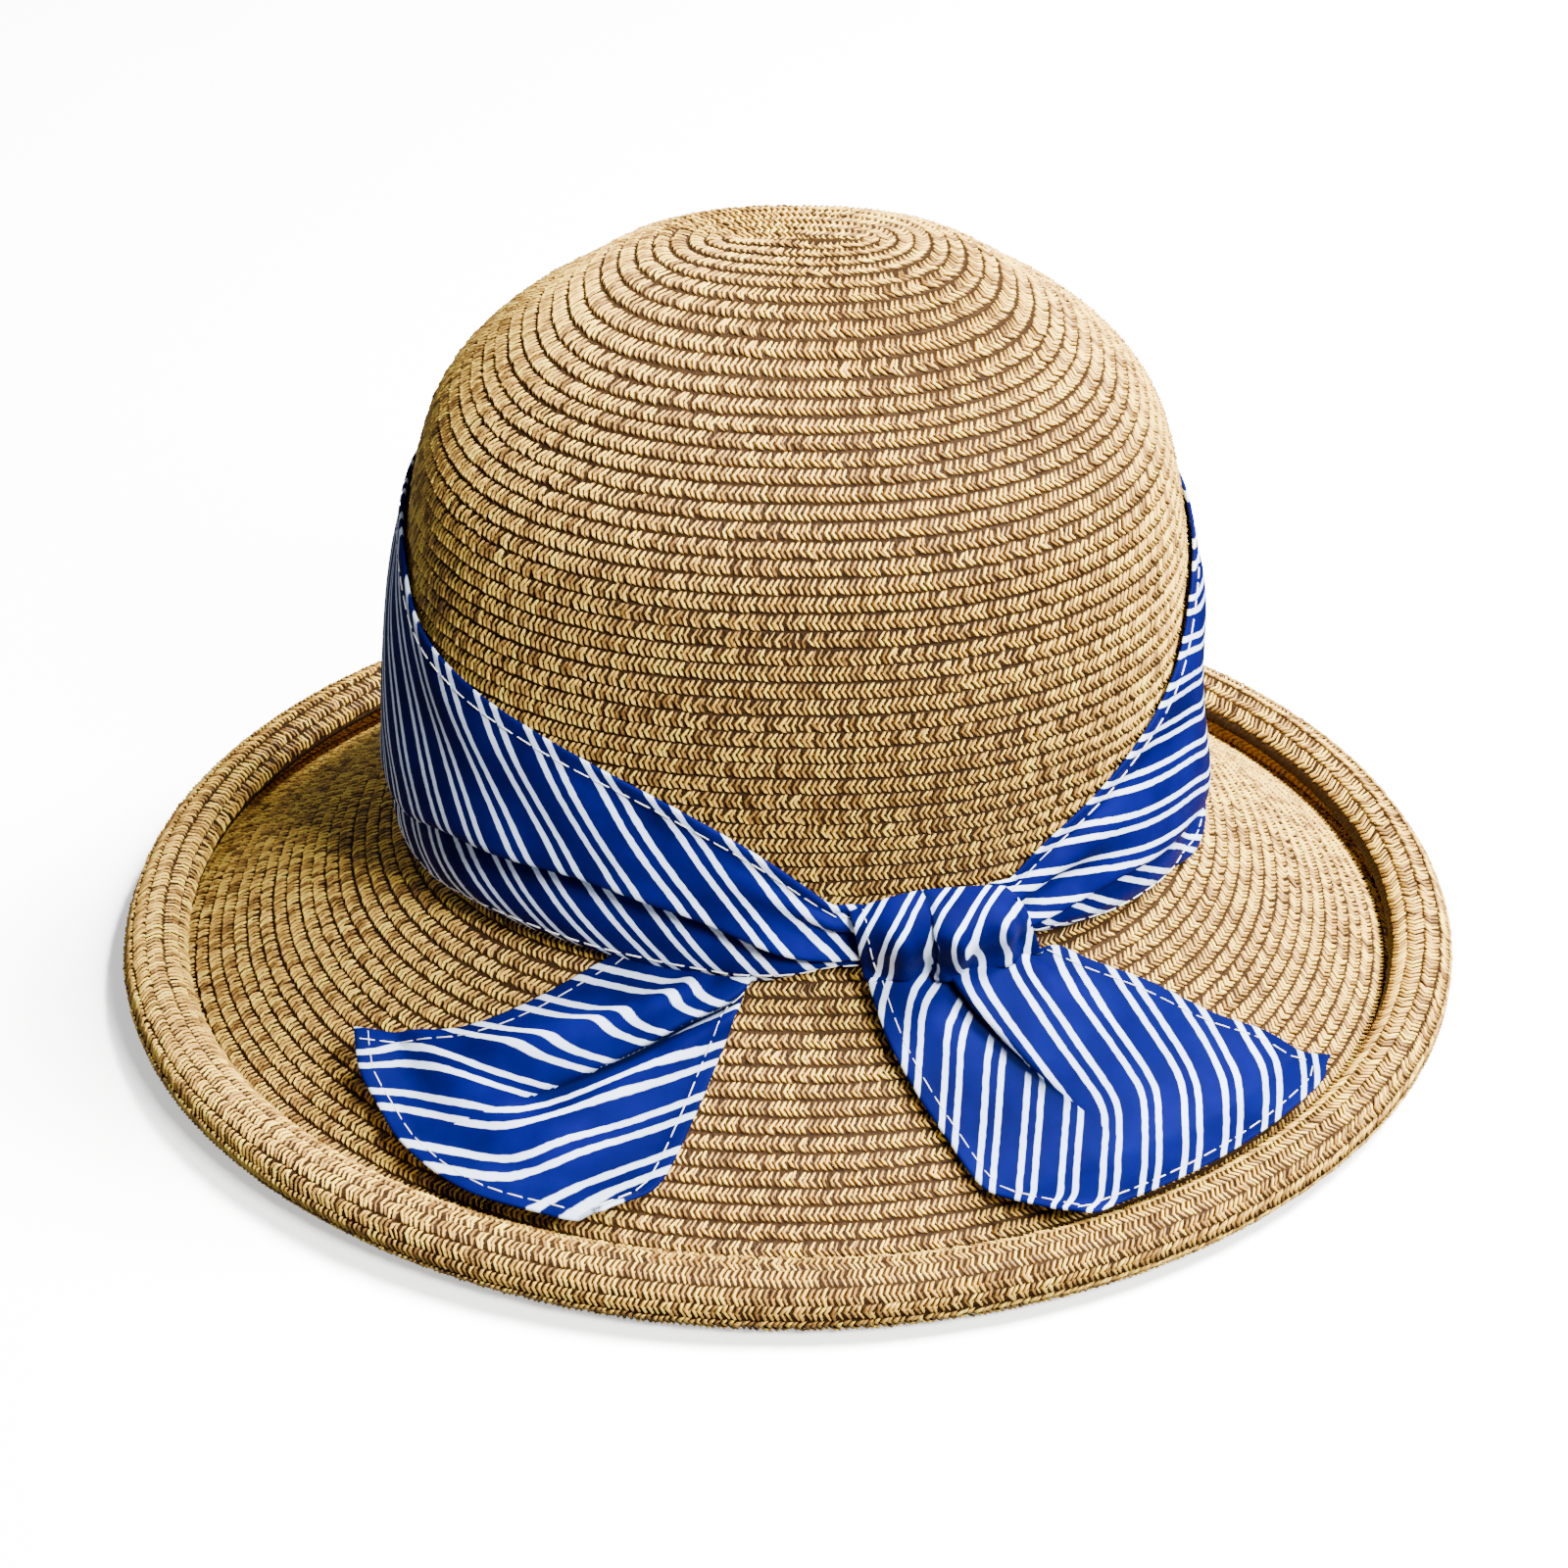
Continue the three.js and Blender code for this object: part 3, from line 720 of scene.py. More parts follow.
# %% Stripes in the picture's plane
def image_plane(points):
    """Where points lie across and up in a plane square to the photograph's view."""
    return points[..., 0], points[..., 1] * np.sin(CAMERA_DOWN) + points[..., 2] * np.cos(CAMERA_DOWN)


def across_at(angle):
    """The direction across stripes that fall to the right by an angle below level."""
    return np.array([np.sin(np.radians(angle)), np.cos(np.radians(angle))])


def stripes_at(points, angle):
    """A coordinate across straight stripes, and one along them."""
    x, y = image_plane(points)
    a, b = across_at(angle)
    return np.stack([x * a + y * b, x * b - y * a], -1)


def bent_stripes(fabric, points, spot, before, after, side, soft=2.0):
    """Stripes that turn from one angle to another along a line through a spot. They only meet there
    if the change of their direction across is square to that line, so the change gives the line; past
    it the coordinate grows by the change times the distance, and soft rounds the corner."""
    change = across_at(after) - across_at(before)
    size = np.linalg.norm(change)
    x, y = image_plane(points)
    past = side * ((x - spot[0]) * change[0] + (y - spot[1]) * change[1]) / size
    rounded = soft * np.logaddexp(0, past / soft)
    fabric = fabric.copy()
    fabric[..., 0] += side * size * rounded
    return fabric


# %% [markdown]
# ### The band
#
# The band is the scarf's longest stretch. Its upper part bulges and hangs over its lower part along
# one crease that falls towards the knot. The stripes run at a slant to it, so the coordinate across
# them adds the way along the crown to the way up the cloth, folds counted in.

# %% Band
# the turn, then the run of the low and the top edge and the pleat's height, as shares of their sizes
band_rows = [
    (84.4, 0.02, 0.2, 0.5),
    (95, -0.05, 0.34, 0.65),
    (107, -0.03, 0.465, 0.8),
    (119, 0, 0.56, 0.9),
    (131, 0.015, 0.63, 0.95),
    (144, 0.01, 0.685, 1),
    (157, -0.04, 0.74, 1),
    (168, -0.08, 0.84, 1),
    (185, -0.11, 0.87, 0.9),
    (225, -0.1, 0.84, 0.75),
    (270, -0.09, 0.82, 0.7),
    (315, -0.11, 0.82, 0.8),
    (350, -0.14, 0.81, 0.95),
    (373, -0.12, 0.75, 1),
    (384, -0.06, 0.6, 0.9),
    (400, 0, 0.42, 0.8),
    (411, 0.03, 0.3, 0.65),
    (416.1, 0.035, 0.22, 0.5),
]
band_turns, band_low, band_top, band_pleat = zip(*band_rows)
crease_turns = [84, 97, 112, 129, 145, 157, 168, 185, 225, 315, 350, 373, 384, 400, 416]
crease_share = [0.4, 0.47, 0.51, 0.47, 0.38, 0.3, 0.24, 0.22, 0.24, 0.24, 0.2, 0.24, 0.3, 0.4, 0.46]
CREASE_AT = 0.4
section_at = [0, 0.06, 0.18, 0.3, 0.385, 0.425, 0.47, 0.56, 0.72, 0.88, 1]
section_lift = [0.1, 0.5, 0.62, 0.36, 0.0, 0.85, 1.18, 0.98, 0.5, 0.2, 0.0]
BAND_LEAN = 0.85
BAND_ENDS = (79.5, 419.5)
KNOT_SIDES = (82, 418)
KNOT_NEAR = 20
GATHERS, WANDER, SOFT_FOLDS = 1.5, 0.5, 0.7
HALF_WAY_UP = 25.0


print("the band's table has", len(band_rows), "rows")


# %% [markdown]
# Its grid runs round the crown from the knot to the knot. A cloth simulation would find such a bulge
# by itself, but not in its place, so the bulge is a section that is read from the tables above.

# %% The band's grid
def band_grid(rows, columns):
    """Turn, run, height and share across of the band. A share below CREASE_AT lies under the crease
    and the rest above it; the height is the section times the pleat, with gathers near the knot, a
    slow wander and soft folds added, and the lean takes the cloth down by a share of its height. The
    columns stand closest about the crease, where the cloth bends most."""
    turn = -np.linspace(*BAND_ENDS, rows)[:, None]
    lower, about_crease = np.linspace(0.03, 0.3, 9), np.linspace(0.32, 0.5, 14)
    upper = np.linspace(0.53, 0.975, columns - 29)
    share = np.r_[edged(columns)[:3], lower, about_crease, upper, edged(columns)[-3:]][None, :]
    low = eased(band_turns, band_low, -turn) * SCARF_WIDTH
    top = eased(band_turns, band_top, -turn) * SCARF_WIDTH
    crease = eased(crease_turns, crease_share, -turn)
    under = share / CREASE_AT * crease
    above = crease + (share - CREASE_AT) / (1 - CREASE_AT) * (1 - crease)
    across = np.where(share < CREASE_AT, under, above)
    pleat = eased(band_turns, band_pleat, -turn) * PLEAT
    height = eased(section_at, section_lift, share) * pleat
    inside = smooth(share, 0, 0.12) * (1 - smooth(share, 0.88, 1))
    near_knot = sum(ridge(-turn, side, KNOT_NEAR) for side in KNOT_SIDES)
    gathers = GATHERS * near_knot * np.sin(share * 21 + 0.5 + turn * 0.02)
    wander = np.sin(turn * 0.21 + share * 3) * np.sin(turn * 0.083 + share * 5 + 1)
    soft_folds = SOFT_FOLDS * np.sin(share * 12 + turn * 0.11) * smooth(share, 0.5, 0.62)
    height = np.maximum(height + (gathers + WANDER * wander + soft_folds) * inside, 0)
    hang = smooth(share, 0.3, 0.44) * (1 - smooth(share, 0.5, 0.85))
    run = mix(low, top, across) - BAND_LEAN * hang * height
    return turn + 0 * run, run, height, share + 0 * run


band_turn, band_run, band_height, band_share = band_grid(300, 46)
band_middle = over_straw(band_run, band_turn, band_height)
along_crown = lengths(over_straw(HALF_WAY_UP + 0 * band_turn[:, :1], band_turn[:, :1], 0), 0)
up_cloth = lengths(band_middle, 1)


print("the band stands off by at most", round(band_height.max(), 1), "mm")


# %% [markdown]
# The band's stripes are straight on the cloth, so their map is measured on the cloth itself. It gets
# two maps, one for the faces below the crease and one for those above it.

# %% The band's stripes and its sheet
def slanted_stripes(turns, slants):
    """The coordinates across and along stripes that climb the band at a slant, which is given in
    degrees at some turns: up the cloth times its cosine, less the sum of its sine along the crown."""
    slant = np.radians(eased(turns, slants, -band_turn[:, :1]))
    gone = np.cumsum(np.gradient(along_crown, axis=0) * np.sin(slant), axis=0)
    across = up_cloth * np.cos(slant) - gone
    return np.stack([across, up_cloth * np.sin(slant) + along_crown * np.cos(slant)], -1)


band_below = slanted_stripes(
    [84, 120, 150, 166, 185, 230, 330, 365, 385, 417],
    [46, 50, 44, 24, 16, 30, 36, 34, 30, 28],
)
band_above = slanted_stripes(
    [84, 130, 180, 230, 330, 365, 385, 417],
    [52, 55, 50, 42, 36, 20, 12, 8],
)
# painted shade along the crease and on the lower panel just under it
crease_painted_shade = 0.5 * smooth(band_share, 0.28, CREASE_AT) * (band_share < CREASE_AT)
band, band_outer, band_normal = sheet_piece(
    "scarf_band_cloth",
    band_middle,
    band_below,
    (0, 0, 1, 1),
    band_above,
    band_share > CREASE_AT + 0.01,
    ridge(band_share, CREASE_AT, 0.02) + crease_painted_shade,
)

# %% [markdown]
# ### The two ends
#
# Each end starts narrow at the knot and fans out towards its hem. The right one is two nearly flat
# panels with one strong fold between them, which starts at the pinch of the knot; the left one has a
# fold that runs down from the band, and the corners of its hem lift up.

# %% The main fold
def fold_line_at(out):
    """Where the right end's main fold runs: a share across it at a share out from the knot."""
    return eased([0, 0.15, 0.5, 0.8, 1], [0.5, 0.47, 0.43, 0.44, 0.46], out)


def main_fold(out, across):
    """The strong fold of the right end: it rises quickly on its left side and falls slowly on its
    right, and dies away towards the hem."""
    height = 4.6 * eased([0, 0.1, 0.35, 0.52, 0.66, 0.76, 1], [0.6, 0.9, 0.85, 0.5, 0.14, 0, 0], out)
    line = fold_line_at(out)
    rise = smooth(across, line - 0.035, line + 0.01)
    return height * rise * (1 - smooth(across, line + 0.03, line + 0.34))


main_crest = main_fold(0.1, np.linspace(0, 1, 50)).max()
print("the main fold stands off by", round(main_crest, 1), "mm near the knot")

# %% [markdown]
# A table for each end says how it fans out from the knot to its hem: the turns of its two sides, how
# far out they reach, and by how much the middle of a row bows out past them.

# %% Ends of the scarf
right_rows = {
    "left_turn": [-80, -79, -77.5, -75, -72.5, -70, -64.5],
    "left_out": [0, 0.14, 0.31, 0.5, 0.67, 0.84, 1],
    "right_turn": [-57.5, -52, -46.5, -40, -35.5, -31, -27.5],
    "right_out": [0, 0.06, 0.19, 0.36, 0.55, 0.77, 0.97],
    "bow": [0, 0, 0, 0.02, 0.03, 0.03, 0],
}
left_rows = {
    "left_turn": [-119, -123.5, -128.5, -134, -139.5, -144],
    "left_out": [0, 0.16, 0.32, 0.47, 0.57, 0.66],
    "right_turn": [-97.5, -98.5, -100, -101.5, -103.2, -105.8],
    "right_out": [0, 0.14, 0.32, 0.53, 0.75, 0.95],
    "bow": [0, 0, 0.03, 0.06, 0.11, 0.17],
}


def hem_run(height):
    """The furthest run out along the brim that cloth of a given height keeps clear of the roll."""
    stop = roll_centre[0] - ROLL / 2 - PIECE_GAP
    lean = np.sin(SLOPE) * (WALL / 2 + CLOTH_GAP + height + CLOTH)
    return SHOULDER * (np.pi / 2 - SLOPE) + (stop - lean - shoulder_r) / np.cos(SLOPE)


CORNER_WIDE, CORNERS_FROM = 0.16, 0.82
DRAWN_ACROSS, DRAWN_BACK = 0.045, 0.05


def tail_place(rows, start_run, out, across):
    """Turn and run of an end of the scarf at a share out from the knot and a share across it. The
    two corners of its hem are drawn in a little, which rounds them."""
    row = np.linspace(0, 1, len(rows["bow"]))
    read = {key: eased(row, values, out) for key, values in rows.items()}
    near_hem = smooth(out, CORNERS_FROM, 1)
    left_corner = near_hem * (1 - smooth(across, 0, CORNER_WIDE))
    right_corner = near_hem * smooth(across, 1 - CORNER_WIDE, 1)
    across = across + DRAWN_ACROSS * (left_corner - right_corner)
    turn = mix(read["left_turn"], read["right_turn"], across)
    share = mix(read["left_out"], read["right_out"], across) + read["bow"] * 4 * across * (1 - across)
    share = share - DRAWN_BACK * (left_corner + right_corner)
    start = start_run(turn) - PIECE_GAP
    return turn, mix(start, -hem_run(TAIL_LIFT + FOLD), np.minimum(share, 1))


print("the hem may lie", round(hem_run(TAIL_LIFT + FOLD), 1), "mm out from the seam")


# %% [markdown]
# An end's height above the straw is a sum, as the band's is: a lift that holds the whole end off the
# brim, one strong fold, and soft waves and corners. They are kept apart, because only the strong fold
# leans over to its side.

# %% Heights of the ends
def right_height(out, across):
    """The right end's height in three parts: a lift that rises to the knot and again at the hem, the
    main fold, and a sum of soft ridges and the lifted left corner of its hem."""
    lift = TAIL_LIFT * eased([0, 0.15, 0.4, 0.7, 0.9, 1], [1.1, 1.5, 0.9, 0.4, 0.45, 1.1], out)
    second_line = eased([0, 0.6, 1], [0.8, 0.74, 0.7], out)
    second = 1.9 * ridge(across, second_line, 0.07) * (1 - smooth(out, 0.25, 0.75))
    third = 1.5 * ridge(across, eased([0, 1], [0.2, 0.3], out), 0.09) * (1 - smooth(out, 0.1, 0.7))
    beside_hem = 1.6 * ridge(out, 0.8, 0.06) * smooth(across, 0.4, 0.6)
    corner = 4.5 * smooth(out, 0.86, 1) * (1 - smooth(across, 0.0, 0.16))
    return lift, main_fold(out, across), second + third + beside_hem + corner


def left_fold_at(out):
    """Where the left end's fold runs: a share across it at a share out from the knot."""
    return eased([0, 0.17, 0.32, 0.52, 0.7, 1], [1.0, 0.88, 0.67, 0.48, 0.38, 0.3], out)


def left_waves(out, across):
    """The left end's soft waves: one above its fold, one below it and one beside its hem."""
    fold_line = left_fold_at(out)
    above = 2.2 * ridge(across, fold_line - 0.3, 0.09) * (1 - smooth(out, 0.45, 0.8))
    below = 1.9 * ridge(across, fold_line + 0.19, 0.08)
    below = below * smooth(out, 0.05, 0.25) * (1 - smooth(out, 0.5, 0.85))
    beside_hem = 1.7 * ridge(out, 0.74, 0.08) * (1 - smooth(across, 0.6, 0.95))
    return above + below + beside_hem


def left_height(out, across):
    """The left end's height in three parts: a lift that rises at the hem, the fold across it, and a
    sum of its waves and the two lifted corners of its hem."""
    lift = TAIL_LIFT * eased([0, 0.2, 0.5, 0.85, 0.94, 1], [0.3, 0.6, 0.5, 0.5, 0.9, 1.5], out)
    fold_line = left_fold_at(out)
    main = 4.4 * eased([0, 0.1, 0.3, 0.5, 0.75, 1], [0.9, 1, 0.9, 0.5, 0.1, 0], out)
    rise = 1 - smooth(across, fold_line - 0.01, fold_line + 0.05)
    fall = smooth(across, fold_line - 0.36, fold_line - 0.03)
    corners = 5.5 * smooth(out, 0.82, 1) * (1 - smooth(across, 0.02, 0.24))
    corners = corners + 5.0 * smooth(out, 0.84, 1) * smooth(across, 0.78, 1)
    return lift, main * rise * fall, left_waves(out, across) + corners


knot_along = [0, 0.12, 0.3, 0.5, 0.7, 0.88, 1]
knot_low = [0.12, 0.1, 0.08, 0.08, 0.08, 0.1, 0.13]
FOOT_TURNS = (-84.1, -56.5)
TAIL_GRID = 84


def knot_foot(turn):
    """The run of the knot's low edge at a turn, where the right end starts."""
    along = (turn - FOOT_TURNS[0]) / (FOOT_TURNS[1] - FOOT_TURNS[0])
    return eased(knot_along, knot_low, along) * KNOT_HEIGHT


def band_foot(turn):
    """The run of the band's low edge at a turn, where the left end starts."""
    return eased(band_turns, band_low, -turn) * SCARF_WIDTH


def tail_middle(rows, start_run, height, lean, tuck_in):
    """The grid of an end's middle points, their heights and shares. Its main fold leans across it
    and its first rows are tucked in under the cloth they come from."""
    out, across = edged(TAIL_GRID)[:, None], edged(TAIL_GRID)[None, :]
    lift, main, soft = height(out, across)
    turn, run = tail_place(rows, start_run, out, across)
    width = np.abs(turn[:, -1:] - turn[:, :1])
    turn = turn + lean * main * smooth(width, 0, 30)
    run = run + tuck_in * (1 - smooth(out, 0, 0.12))
    total = lift + main + soft
    return over_straw(run, turn, total), total, across, out


# %% [markdown]
# Each end's sheet gets two maps for its stripes, one for each side of its fold, because the stripes
# run in another direction past it. Under the fold and in its valleys the cloth gets painted shade, a
# darker colour where little light comes.

# %% The right end's sheet
ROLL_TOP = ROLL + CLOTH + 0.6
# how dark the painted shade in the valleys of the ends is
VALLEY_PAINTED_SHADE = 0.3


def over_roll(points, out, reach):
    """The last rows of an end leave the slope, span the gutter and rest on the roll: they move
    outwards by a reach and keep above the top of the roll."""
    angle = np.arctan2(points[..., 1], points[..., 0])
    radial = np.stack([np.cos(angle), np.sin(angle), 0 * angle], -1)
    points = points + radial * (reach * smooth(out, 0.72, 1))[..., None]
    points[..., 2] = mix(points[..., 2], np.maximum(points[..., 2], ROLL_TOP), smooth(out, 0.66, 0.96))
    return points


# the stripes' angles below level: left of the main fold and right of it, and on the knot in its
# pinch, above that and right of it
LEFT_STRIPES, RIGHT_STRIPES = 97, 58
PINCH_STRIPES, TOP_STRIPES, SIDE_STRIPES = 122, 90, 96


def right_stripes(points, height):
    """Two maps for the right end and the knot, for the faces left and right of the main fold. Both
    start from straight stripes, shifted by the cloth's height, and bend at two spots each."""
    level = stripes_at(points, LEFT_STRIPES)
    level[..., 0] += 0.5 * height
    left = bent_stripes(level, points, (30, -12), LEFT_STRIPES, PINCH_STRIPES, -1)
    left = bent_stripes(left, points, (30, 5), PINCH_STRIPES, TOP_STRIPES, 1)
    right = bent_stripes(level, points, (88, -34), LEFT_STRIPES, RIGHT_STRIPES, 1)
    right = bent_stripes(right, points, (45, -5), RIGHT_STRIPES, SIDE_STRIPES, -1)
    return left, right


right_middle, right_total, right_across, right_out = tail_middle(
    right_rows, knot_foot, right_height, lean=-0.5, tuck_in=3.5
)
right_middle = over_roll(right_middle, right_out, 9 - 3 * right_across)
right_maps = right_stripes(right_middle, right_total)
past_fold = right_across - fold_line_at(right_out)
# painted shade beside the main fold and in the valleys between the soft ridges
fold_side_painted_shade = smooth(past_fold, -0.11, -0.03) * (1 - smooth(past_fold, -0.025, 0.005))
right_valley_painted_shade = VALLEY_PAINTED_SHADE * (1 - smooth(right_height(right_out, right_across)[2], 0.1, 1.3))
right_end, right_outer, right_normal = sheet_piece(
    "scarf_right_end_cloth",
    right_middle,
    right_maps[0],
    (0, 1, 1, 1),
    right_maps[1],
    past_fold > -0.02,
    fold_side_painted_shade * smooth(right_out, 0.75, 0.5) + right_valley_painted_shade,
)

# %% [markdown]
# The left end's stripes turn along one line of the picture. Above the fold they have all turned, so
# that map turns far to the right, and is then shifted until both maps agree at one of its points.

# %% The left end's sheet
# the stripes' angles below and past the turn, where each map turns, and the row and column to agree at
LOW_STRIPES, HIGH_STRIPES = -20, 12
WAVE_SPOT, FAR_SPOT = (-66, -34), (0, -34)
AGREE_AT = (42, 4)

left_middle, left_total, left_across, left_out = tail_middle(
    left_rows, band_foot, left_height, lean=0.45, tuck_in=3.0
)
left_middle = over_roll(left_middle, left_out, 4 * smooth(left_across, 0.2, 0.7))
waves_here = left_waves(left_out, left_across)
left_low = stripes_at(left_middle, LOW_STRIPES)
left_low[..., 0] += 0.4 * left_total - 1.2 * waves_here
turned = bent_stripes(left_low, left_middle, WAVE_SPOT, LOW_STRIPES, HIGH_STRIPES, -1, 3.0)
upper = bent_stripes(left_low, left_middle, FAR_SPOT, LOW_STRIPES, HIGH_STRIPES, -1, 0.1)
upper[..., 0] += turned[AGREE_AT][0] - upper[AGREE_AT][0]
past_fold = left_across - left_fold_at(left_out)
# painted shade beside the fold and in the valleys between the waves
fold_side_painted_shade = smooth(past_fold, 0.12, 0.05) * smooth(past_fold, -0.01, 0.04)
left_end, left_outer, left_normal = sheet_piece(
    "scarf_left_end_cloth",
    left_middle,
    turned,
    (0, 1, 1, 1),
    upper,
    past_fold < 0.03,
    fold_side_painted_shade * smooth(left_out, 0.7, 0.4) + VALLEY_PAINTED_SHADE * (1 - smooth(waves_here, 0.1, 1.3)),
)

# %% [markdown]
# ### The knot
#
# What shows of the knot is a smooth roll: the cloth comes up from behind the band, bulges and falls
# to the brim, where it goes on as the right end of the scarf. Its folds are those of the end, so the
# knot asks the end for them and only adds the pinch in its middle and two dimples.

# %% The knot
# along the knot its top and its swell; up its section how far it stands off and how far up it is
knot_top = [0.8, 0.86, 0.95, 1.0, 0.97, 0.93, 0.86]
knot_swell = [0.5, 0.72, 0.92, 1, 0.9, 0.7, 0.45]
knot_at = [0, 0.14, 0.32, 0.5, 0.68, 0.84, 0.94, 1]
knot_rise = [0.2, 0.36, 0.7, 0.94, 1.0, 0.8, 0.42, 0.0]
knot_climb = [0.0, 0.2, 0.42, 0.61, 0.79, 0.92, 0.98, 1.0]
KNOT_TOP_TURNS = (-81.8, -57.0)
KNOT_FOOT = 0.16
OVER_END = 0.62


def knot_grid(rows, columns):
    """Turn, run, height and share along of the knot. Its low edge lies on one row of the right end,
    with the same folds; above it the section climbs, bulges by the swell and dives behind at the
    crown."""
    along = edged(rows)[:, None]
    share = edged(columns)[None, :]
    lift, fold, soft = right_height(KNOT_FOOT, along)
    foot_turn, foot_run = tail_place(right_rows, knot_foot, KNOT_FOOT, along)
    turn = mix(foot_turn, mix(*KNOT_TOP_TURNS, along), share)
    top = eased(knot_along, knot_top, along) * KNOT_HEIGHT
    run = mix(foot_run, top, eased(knot_at, knot_climb, share))
    swell = eased(knot_along, knot_swell, along) * KNOT_DEPTH * eased(knot_at, knot_rise, share)
    fade = 1 - smooth(share, 0.7, 1)
    height = mix(lift + OVER_END, np.maximum(swell, lift), smooth(share, -0.1, 0.6))
    height = height * smooth(share, 1.0, 0.9)
    pinch = smooth(share, 0.1, 0.35) * (1.8 * ridge(along, 0.58, 0.035) - 1.6 * ridge(along, 0.49, 0.03))
    dimples = 0.9 * ridge(along, 0.22, 0.06) + 0.9 * ridge(along, 0.82, 0.06)
    folds = fold * mix(1.0, 0.5, share) + soft + (pinch + dimples) * smooth(share, 0, 0.3)
    return turn - 0.5 * fold * fade, run, height + folds * fade, along + 0 * run


knot_turn, knot_run, knot_height, knot_share = knot_grid(78, 44)
knot_middle = over_straw(knot_run, knot_turn, knot_height)
knot_maps = right_stripes(knot_middle, knot_height)
knot, knot_outer, knot_normal = sheet_piece(
    "scarf_knot_cloth",
    knot_middle,
    knot_maps[0],
    (1, 1, 0, 0),
    knot_maps[1],
    knot_share > fold_line_at(KNOT_FOOT) - 0.01,
    # painted shade in the pinch of the knot
    0.8 * ridge(knot_share, 0.485, 0.025),
)

# %% [markdown]
# ### The hem's stitches
#
# A pale running stitch holds the hem. Each stitch is a short thread that dips into the cloth at both
# ends, so it can be the same strand as before with two rings, laid along a line at the hem's width
# from the edge.

# %% Stitches
STITCH, STITCH_STEP = 4.6, 5.3
BEFORE_FIRST, AFTER_LAST = 0.8, 0.5
RINGS_AND_ENDS = np.array([0, 0.12, 0.88, 1.0])
THREAD_HALF, THREAD_HIGH, THREAD_SUNK = 0.17, 0.3, 0.12
FIRST_ROW, LAST_ROW, BOTH_SIDES = [(0, False)], [(0, True)], [(1, False), (1, True)]
stitch_faces = strand([(0, 0, 0, 0, 0, 0)] * 4)[1]


def inset_line(outer, normal, axis, from_end, inset):
    """Points and normals of a grid on a line that keeps a distance from one of its edges: along each
    row the length is summed, and the place where it reaches the distance is read between two points."""
    if axis == 0:
        outer, normal = np.swapaxes(outer, 0, 1), np.swapaxes(normal, 0, 1)
    if from_end:
        outer, normal = outer[:, ::-1], normal[:, ::-1]
    walked = lengths(outer, 1)
    after = np.argmax(walked > inset, axis=1)
    row = np.arange(len(outer))
    step = walked[row, after] - walked[row, after - 1]
    share = ((inset - walked[row, after - 1]) / step)[:, None]
    return tuple(mix(grid[row, after - 1], grid[row, after], share) for grid in (outer, normal))


def stitches(name, lines):
    """Stitches along lines of points. Each has an end, two rings and an end; its rings stand on the
    cloth and its ends sink into it."""
    points = []
    for line, normal in lines:
        walked = np.r_[0, np.cumsum(np.linalg.norm(np.diff(line, axis=0), axis=1))]
        first = np.arange(BEFORE_FIRST, walked[-1] - STITCH - AFTER_LAST, STITCH_STEP)
        at = first[:, None] + STITCH * RINGS_AND_ENDS[None, :]
        spot = np.stack([np.interp(at, walked, line[:, i]) for i in range(3)], -1)
        up = np.stack([np.interp(at, walked, normal[:, i]) for i in range(3)], -1)
        up /= np.linalg.norm(up, axis=-1, keepdims=True)
        ahead = spot[:, 3:] - spot[:, :1]
        side = np.cross(up, ahead)
        side /= np.linalg.norm(side, axis=-1, keepdims=True)
        ends = spot - THREAD_SUNK * up
        around = np.stack([THREAD_HALF * side, THREAD_HIGH * up, -THREAD_HALF * side], 2)
        rings = (spot[:, :, None] + 0.02 * up[:, :, None] + around)[:, 1:3]
        points.append(np.concatenate([ends[:, :1], rings.reshape(len(rings), 6, 3), ends[:, 3:]], 1))
    points = np.concatenate(points)
    before = np.arange(len(points))[:, None, None] * points.shape[1]
    return mesh_piece(name, points.reshape(-1, 3), (stitch_faces[None] + before).reshape(-1, 3))


stitched = [
    ("band_stitches", band, band_outer, band_normal, BOTH_SIDES),
    ("knot_stitches", knot, knot_outer, knot_normal, FIRST_ROW),
    ("right_end_stitches", right_end, right_outer, right_normal, BOTH_SIDES + LAST_ROW),
    ("left_end_stitches", left_end, left_outer, left_normal, BOTH_SIDES + LAST_ROW),
]
threads = {}
for name, piece, outer, normal, edges in stitched:
    hem_lines = [inset_line(outer, normal, axis, from_end, HEM) for axis, from_end in edges]
    threads[piece.name] = stitches(name, hem_lines)

# %% [markdown]
# Each cloth piece stands for the solid at the same place, which is hidden. Its size before it was
# folded, in metres, is listed with it, and a line is printed for how it is held and on which piece it
# rests.

# %% Hide the solids under the cloth
crown_wall_piece = straw_pieces[1][0]
brim_piece = straw_pieces[3][0]
cloth_pieces = [
    (band, "scarf_band", (0.095, 0.60), "gathered", crown_wall_piece),
    (knot, "scarf_knot", (0.045, 0.04), "folded", crown_wall_piece),
    (right_end, "scarf_tail_right", (0.09, 0.08), "draped", brim_piece),
    (left_end, "scarf_tail_left", (0.085, 0.06), "draped", brim_piece),
]
for piece, node, flat, held, below in cloth_pieces:
    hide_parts(node)
    print(piece.name, "is", held, "and rests on", below.name)

# %% [markdown]
# ## Materials
#
# A finish is a sum of a few plain things: a tone, some noise, a mask. Its nodes could be wired one by
# one, but the sums would be hard to read. The small class below lets them be written as Python, and
# adds the Math nodes itself.


